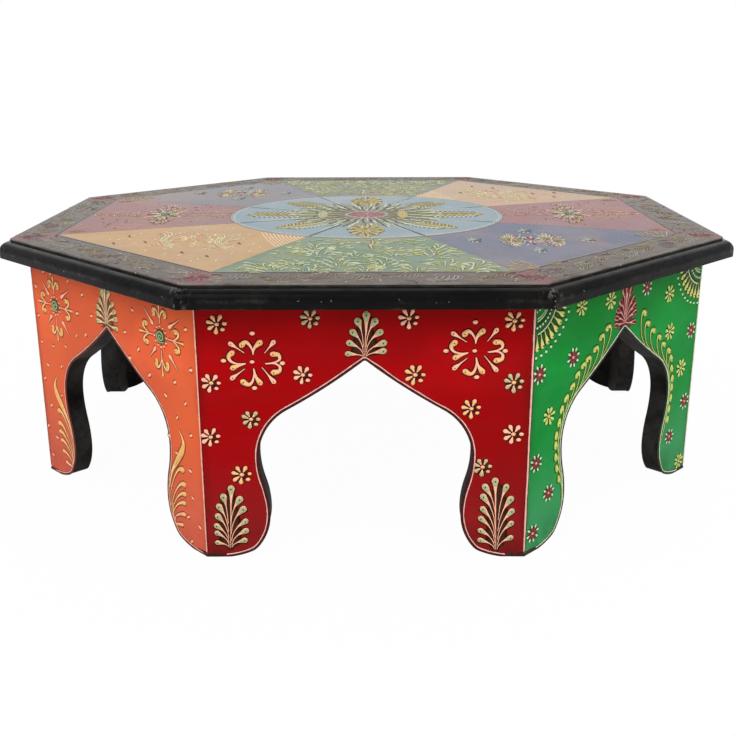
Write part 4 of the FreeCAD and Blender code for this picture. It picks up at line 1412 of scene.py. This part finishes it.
def lay(painting, name, slot, paint, place=None):
    """Makes a painting's strokes solid on a side panel, or on the board where no place is given."""
    mesh = bpy.data.meshes.new(name)
    mesh.from_pydata(painting.points, painting.edges, [])
    for label, values in painting.lines.items():
        mesh.attributes.new(label, "FLOAT", "POINT").data.foreach_set("value", values)
    tint = mesh.attributes.new("tint", "FLOAT_COLOR", "POINT")
    tint.data.foreach_set("color", painting.tints)
    on_top = place is None
    modelled(mesh, STROKE_TREE, slot, Facets_round_the_line=FACETS, Finish=paint,
             Tilt=0.0 if on_top else math.pi / 2, Turn=0.0 if on_top else place * EIGHTH,
             Face_place=(0.0, 0.0, TABLE_HEIGHT) if on_top else (0.0, -FACE_OUT, 0.0))


def ring_points(reach, height, spacing, hand, wander):
    """Points round the octagon at one reach and height, a little off their places."""
    length = 2 * reach * math.tan(math.pi / SIDES)
    count = int(length / spacing)
    for place in range(SIDES):
        for step in range(count):
            share = (step + hand.random()) / count - 0.5
            point = (facing(place) * (reach + hand.uniform(-wander, 0) * MM)
                     + facing(place + 2) * (share * length))
            point.z = height + hand.uniform(-wander, wander) * MM
            yield point


def worn_flakes():
    """Flakes of bare ground along the moulding's edges, and more of them at its mitres."""
    hand = random.Random(FLAKE_SEED)
    sunk, chipped_height, flakes_at_mitre = 0.0002, 0.0085, 34
    lowest = moulding_low.z + 0.0005
    points = [*ring_points(NOSE_OUT - sunk, lowest, 0.004, hand, 0.25),
              *ring_points(NOSE_OUT - sunk, NOSE_HEIGHT, 0.006, hand, 0.4),
              *ring_points(RIM_OUT + 0.0001, TABLE_HEIGHT - 0.0008, 0.009, hand, 0.2)]
    for place in range(SIDES):
        for step in range(flakes_at_mitre):
            height = lowest + hand.random() * chipped_height
            curve = max(0, height - NOSE_HEIGHT) ** 2 * 110
            point = facing(place - 0.5) * ((NOSE_OUT - curve) / math.cos(math.pi / SIDES) - sunk)
            point.z = height
            points.append(point)
    mesh = bpy.data.meshes.new("moulding_flakes")
    mesh.from_pydata(points, [], [])
    ground = Finish("bare_ground_flakes")
    tone = ground.mix(ground.fade(ground.noise(300), 0.4, 0.6), CHIP, srgb(120, 112, 104))
    modelled(mesh, flake_tree(), "black_lacquer", Flake_size=0.00055, Share_kept=0.13, Seed=3,
             Finish=ground.done(tone, 0.7, gloss=0.2, bump=ground.noise(900), depth=0.0001))


def dress(node, material):
    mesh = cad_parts[node].data
    mesh.materials.clear()
    mesh.materials.append(material)


for place, name in enumerate(PLACE_NAMES):
    colour, tones, panel_motifs, grounds, line_tints = PANELS[place % len(PANELS)]
    dress(f"side_panel_{place + 1}", painted_panel(place, *tones))
    seed = PANEL_SEED + place
    lay(panel_motifs(seed, *grounds), f"raised_paint_{name}", f"{colour}_paint", thick_paint, place)
    lay(edge_lines(seed, *line_tints), f"edge_line_{name}", f"{colour}_paint", line_paint, place)

board_paintings = {"mandala": mandala(MANDALA_SEED)}
for place, name in enumerate(PLACE_NAMES):
    board_paintings[f"field_{name}"] = field_motifs(place, FIELD_SEED + place)
    board_paintings[f"border_{name}"] = border_vine(place, BORDER_SEED + place)
board_paintings["dividing_lines"] = dividing_lines(LINES_SEED)
for name, painting in board_paintings.items():
    lay(painting, f"board_{name}", "painted_top", board_paint)
worn_flakes()

dress("top_board", painted_top())
dress("block_screws", dull_steel())
moulding_lacquer, wood = black_moulding(), bare_wood()
for number in range(1, SIDES + 1):
    dress(f"edge_moulding_{number}", moulding_lacquer)
    dress(f"corner_block_{number}", wood)

# ---------------------------------------------------------------- floor, lights and camera

# Metres: half the floor's width, and where it starts and ends to fade into the white behind it
FLOOR_REACH = 30
FADE_START, FADE_END = 0.30, 0.75
# How bright the floor is drawn near the table, and how much light the world gives
FLOOR_WHITE = 0.975
WORLD_LIGHT = 0.62

# Name, place, height aimed at and width in metres, watts, and whether gloss mirrors it
LAMPS = (("key_softbox", (-0.9, -1.5, 1.5), 0.08, 1.2, 22, True),
         ("fill_softbox", (1.3, -1.1, 1.1), 0.08, 1.2, 14, False),
         ("back_softbox", (0.2, 1.3, 1.9), 0.10, 1.4, 14, False))

# Metres and radians, with the lens in millimetres
CAMERA_PLACE = (0.00394, -0.7051, 0.2639)
PITCH, YAW, ROLL = math.radians(17.43), math.radians(-0.27), -0.0031
SENSOR_WIDTH, FOCAL_LENGTH = 36, 49.39


def seen(wiring, *rays):
    """All for what the camera or one of these kinds of ray sees, nothing for the light it gives."""
    path = wiring.make("ShaderNodeLightPath", {}).node.outputs
    share = path["Is Camera Ray"]
    for ray_kind in rays:
        share = wiring.sum("MAXIMUM", share, path[f"Is {ray_kind} Ray"])
    return share


def pale_floor():
    mesh = bpy.data.meshes.new("studio_floor")
    corners = ((-1, -1, 0), (1, -1, 0), (1, 1, 0), (-1, 1, 0))
    mesh.from_pydata([Vector(corner) * FLOOR_REACH for corner in corners], [], [(0, 1, 2, 3)])
    paper = Finish("studio_paper")
    paper.done(srgb(232, 232, 232), 0.9, gloss=0)
    distance = paper.make("ShaderNodeVectorMath", {0: paper.place}, "Value", operation="LENGTH")
    white = paper.scaled(paper.fade(distance, FADE_START, FADE_END), 1 - FLOOR_WHITE,
                         FLOOR_WHITE)
    blend = paper.make("ShaderNodeMixShader", {
        0: paper.times(seen(paper, "Glossy"), white), 1: paper.shader.outputs[0],
        2: paper.make("ShaderNodeEmission", {})})
    paper.plug(paper.tree.nodes["Material Output"].inputs["Surface"], blend)
    mesh.materials.append(paper.material)
    floor = linked("studio_floor", mesh)


def soft_lamp(name, place, aim, width, power, mirrored):
    lamp = bpy.data.lights.new(name, "AREA")
    lamp.shape, lamp.size, lamp.energy = "SQUARE", width, power
    stand = linked(name, lamp)
    stand.location = place
    way = Vector((0, 0, aim)) - Vector(place)
    stand.rotation_euler = way.to_track_quat("-Z", "Y").to_euler()
    stand.visible_glossy = mirrored


def white_world():
    world = bpy.data.worlds.new("studio_white")
    bpy.context.scene.world = world
    world.use_nodes = True
    sky = Wiring(world.node_tree)
    back = sky.tree.nodes["Background"].inputs
    sky.plug(back["Strength"], sky.make("ShaderNodeMapRange", {
        "Value": seen(sky, "Glossy", "Transmission"), "To Min": WORLD_LIGHT, "To Max": 1}))
    sky.plug(back["Color"], (1, 1, 1, 1))


def photo_camera():
    """The camera where the photograph was taken from, in front of the table and a little above."""
    ahead = Vector((math.sin(YAW) * math.cos(PITCH), math.cos(YAW) * math.cos(PITCH),
                    -math.sin(PITCH)))
    right = Vector((math.cos(YAW), -math.sin(YAW), 0))
    up = right.cross(ahead)
    level_right = right * math.cos(ROLL) + up * math.sin(ROLL)
    level_up = up * math.cos(ROLL) - right * math.sin(ROLL)
    optics = bpy.data.cameras.new("photo_camera")
    optics.sensor_width, optics.lens = SENSOR_WIDTH, FOCAL_LENGTH
    camera = linked("photo_camera", optics)
    turn = Matrix((level_right, level_up, -ahead)).transposed().to_4x4()
    camera.matrix_world = Matrix.Translation(CAMERA_PLACE) @ turn
    bpy.context.scene.camera = camera


pale_floor()
for lamp_values in LAMPS:
    soft_lamp(*lamp_values)
white_world()
photo_camera()
bpy.context.scene.view_settings.view_transform = "Standard"
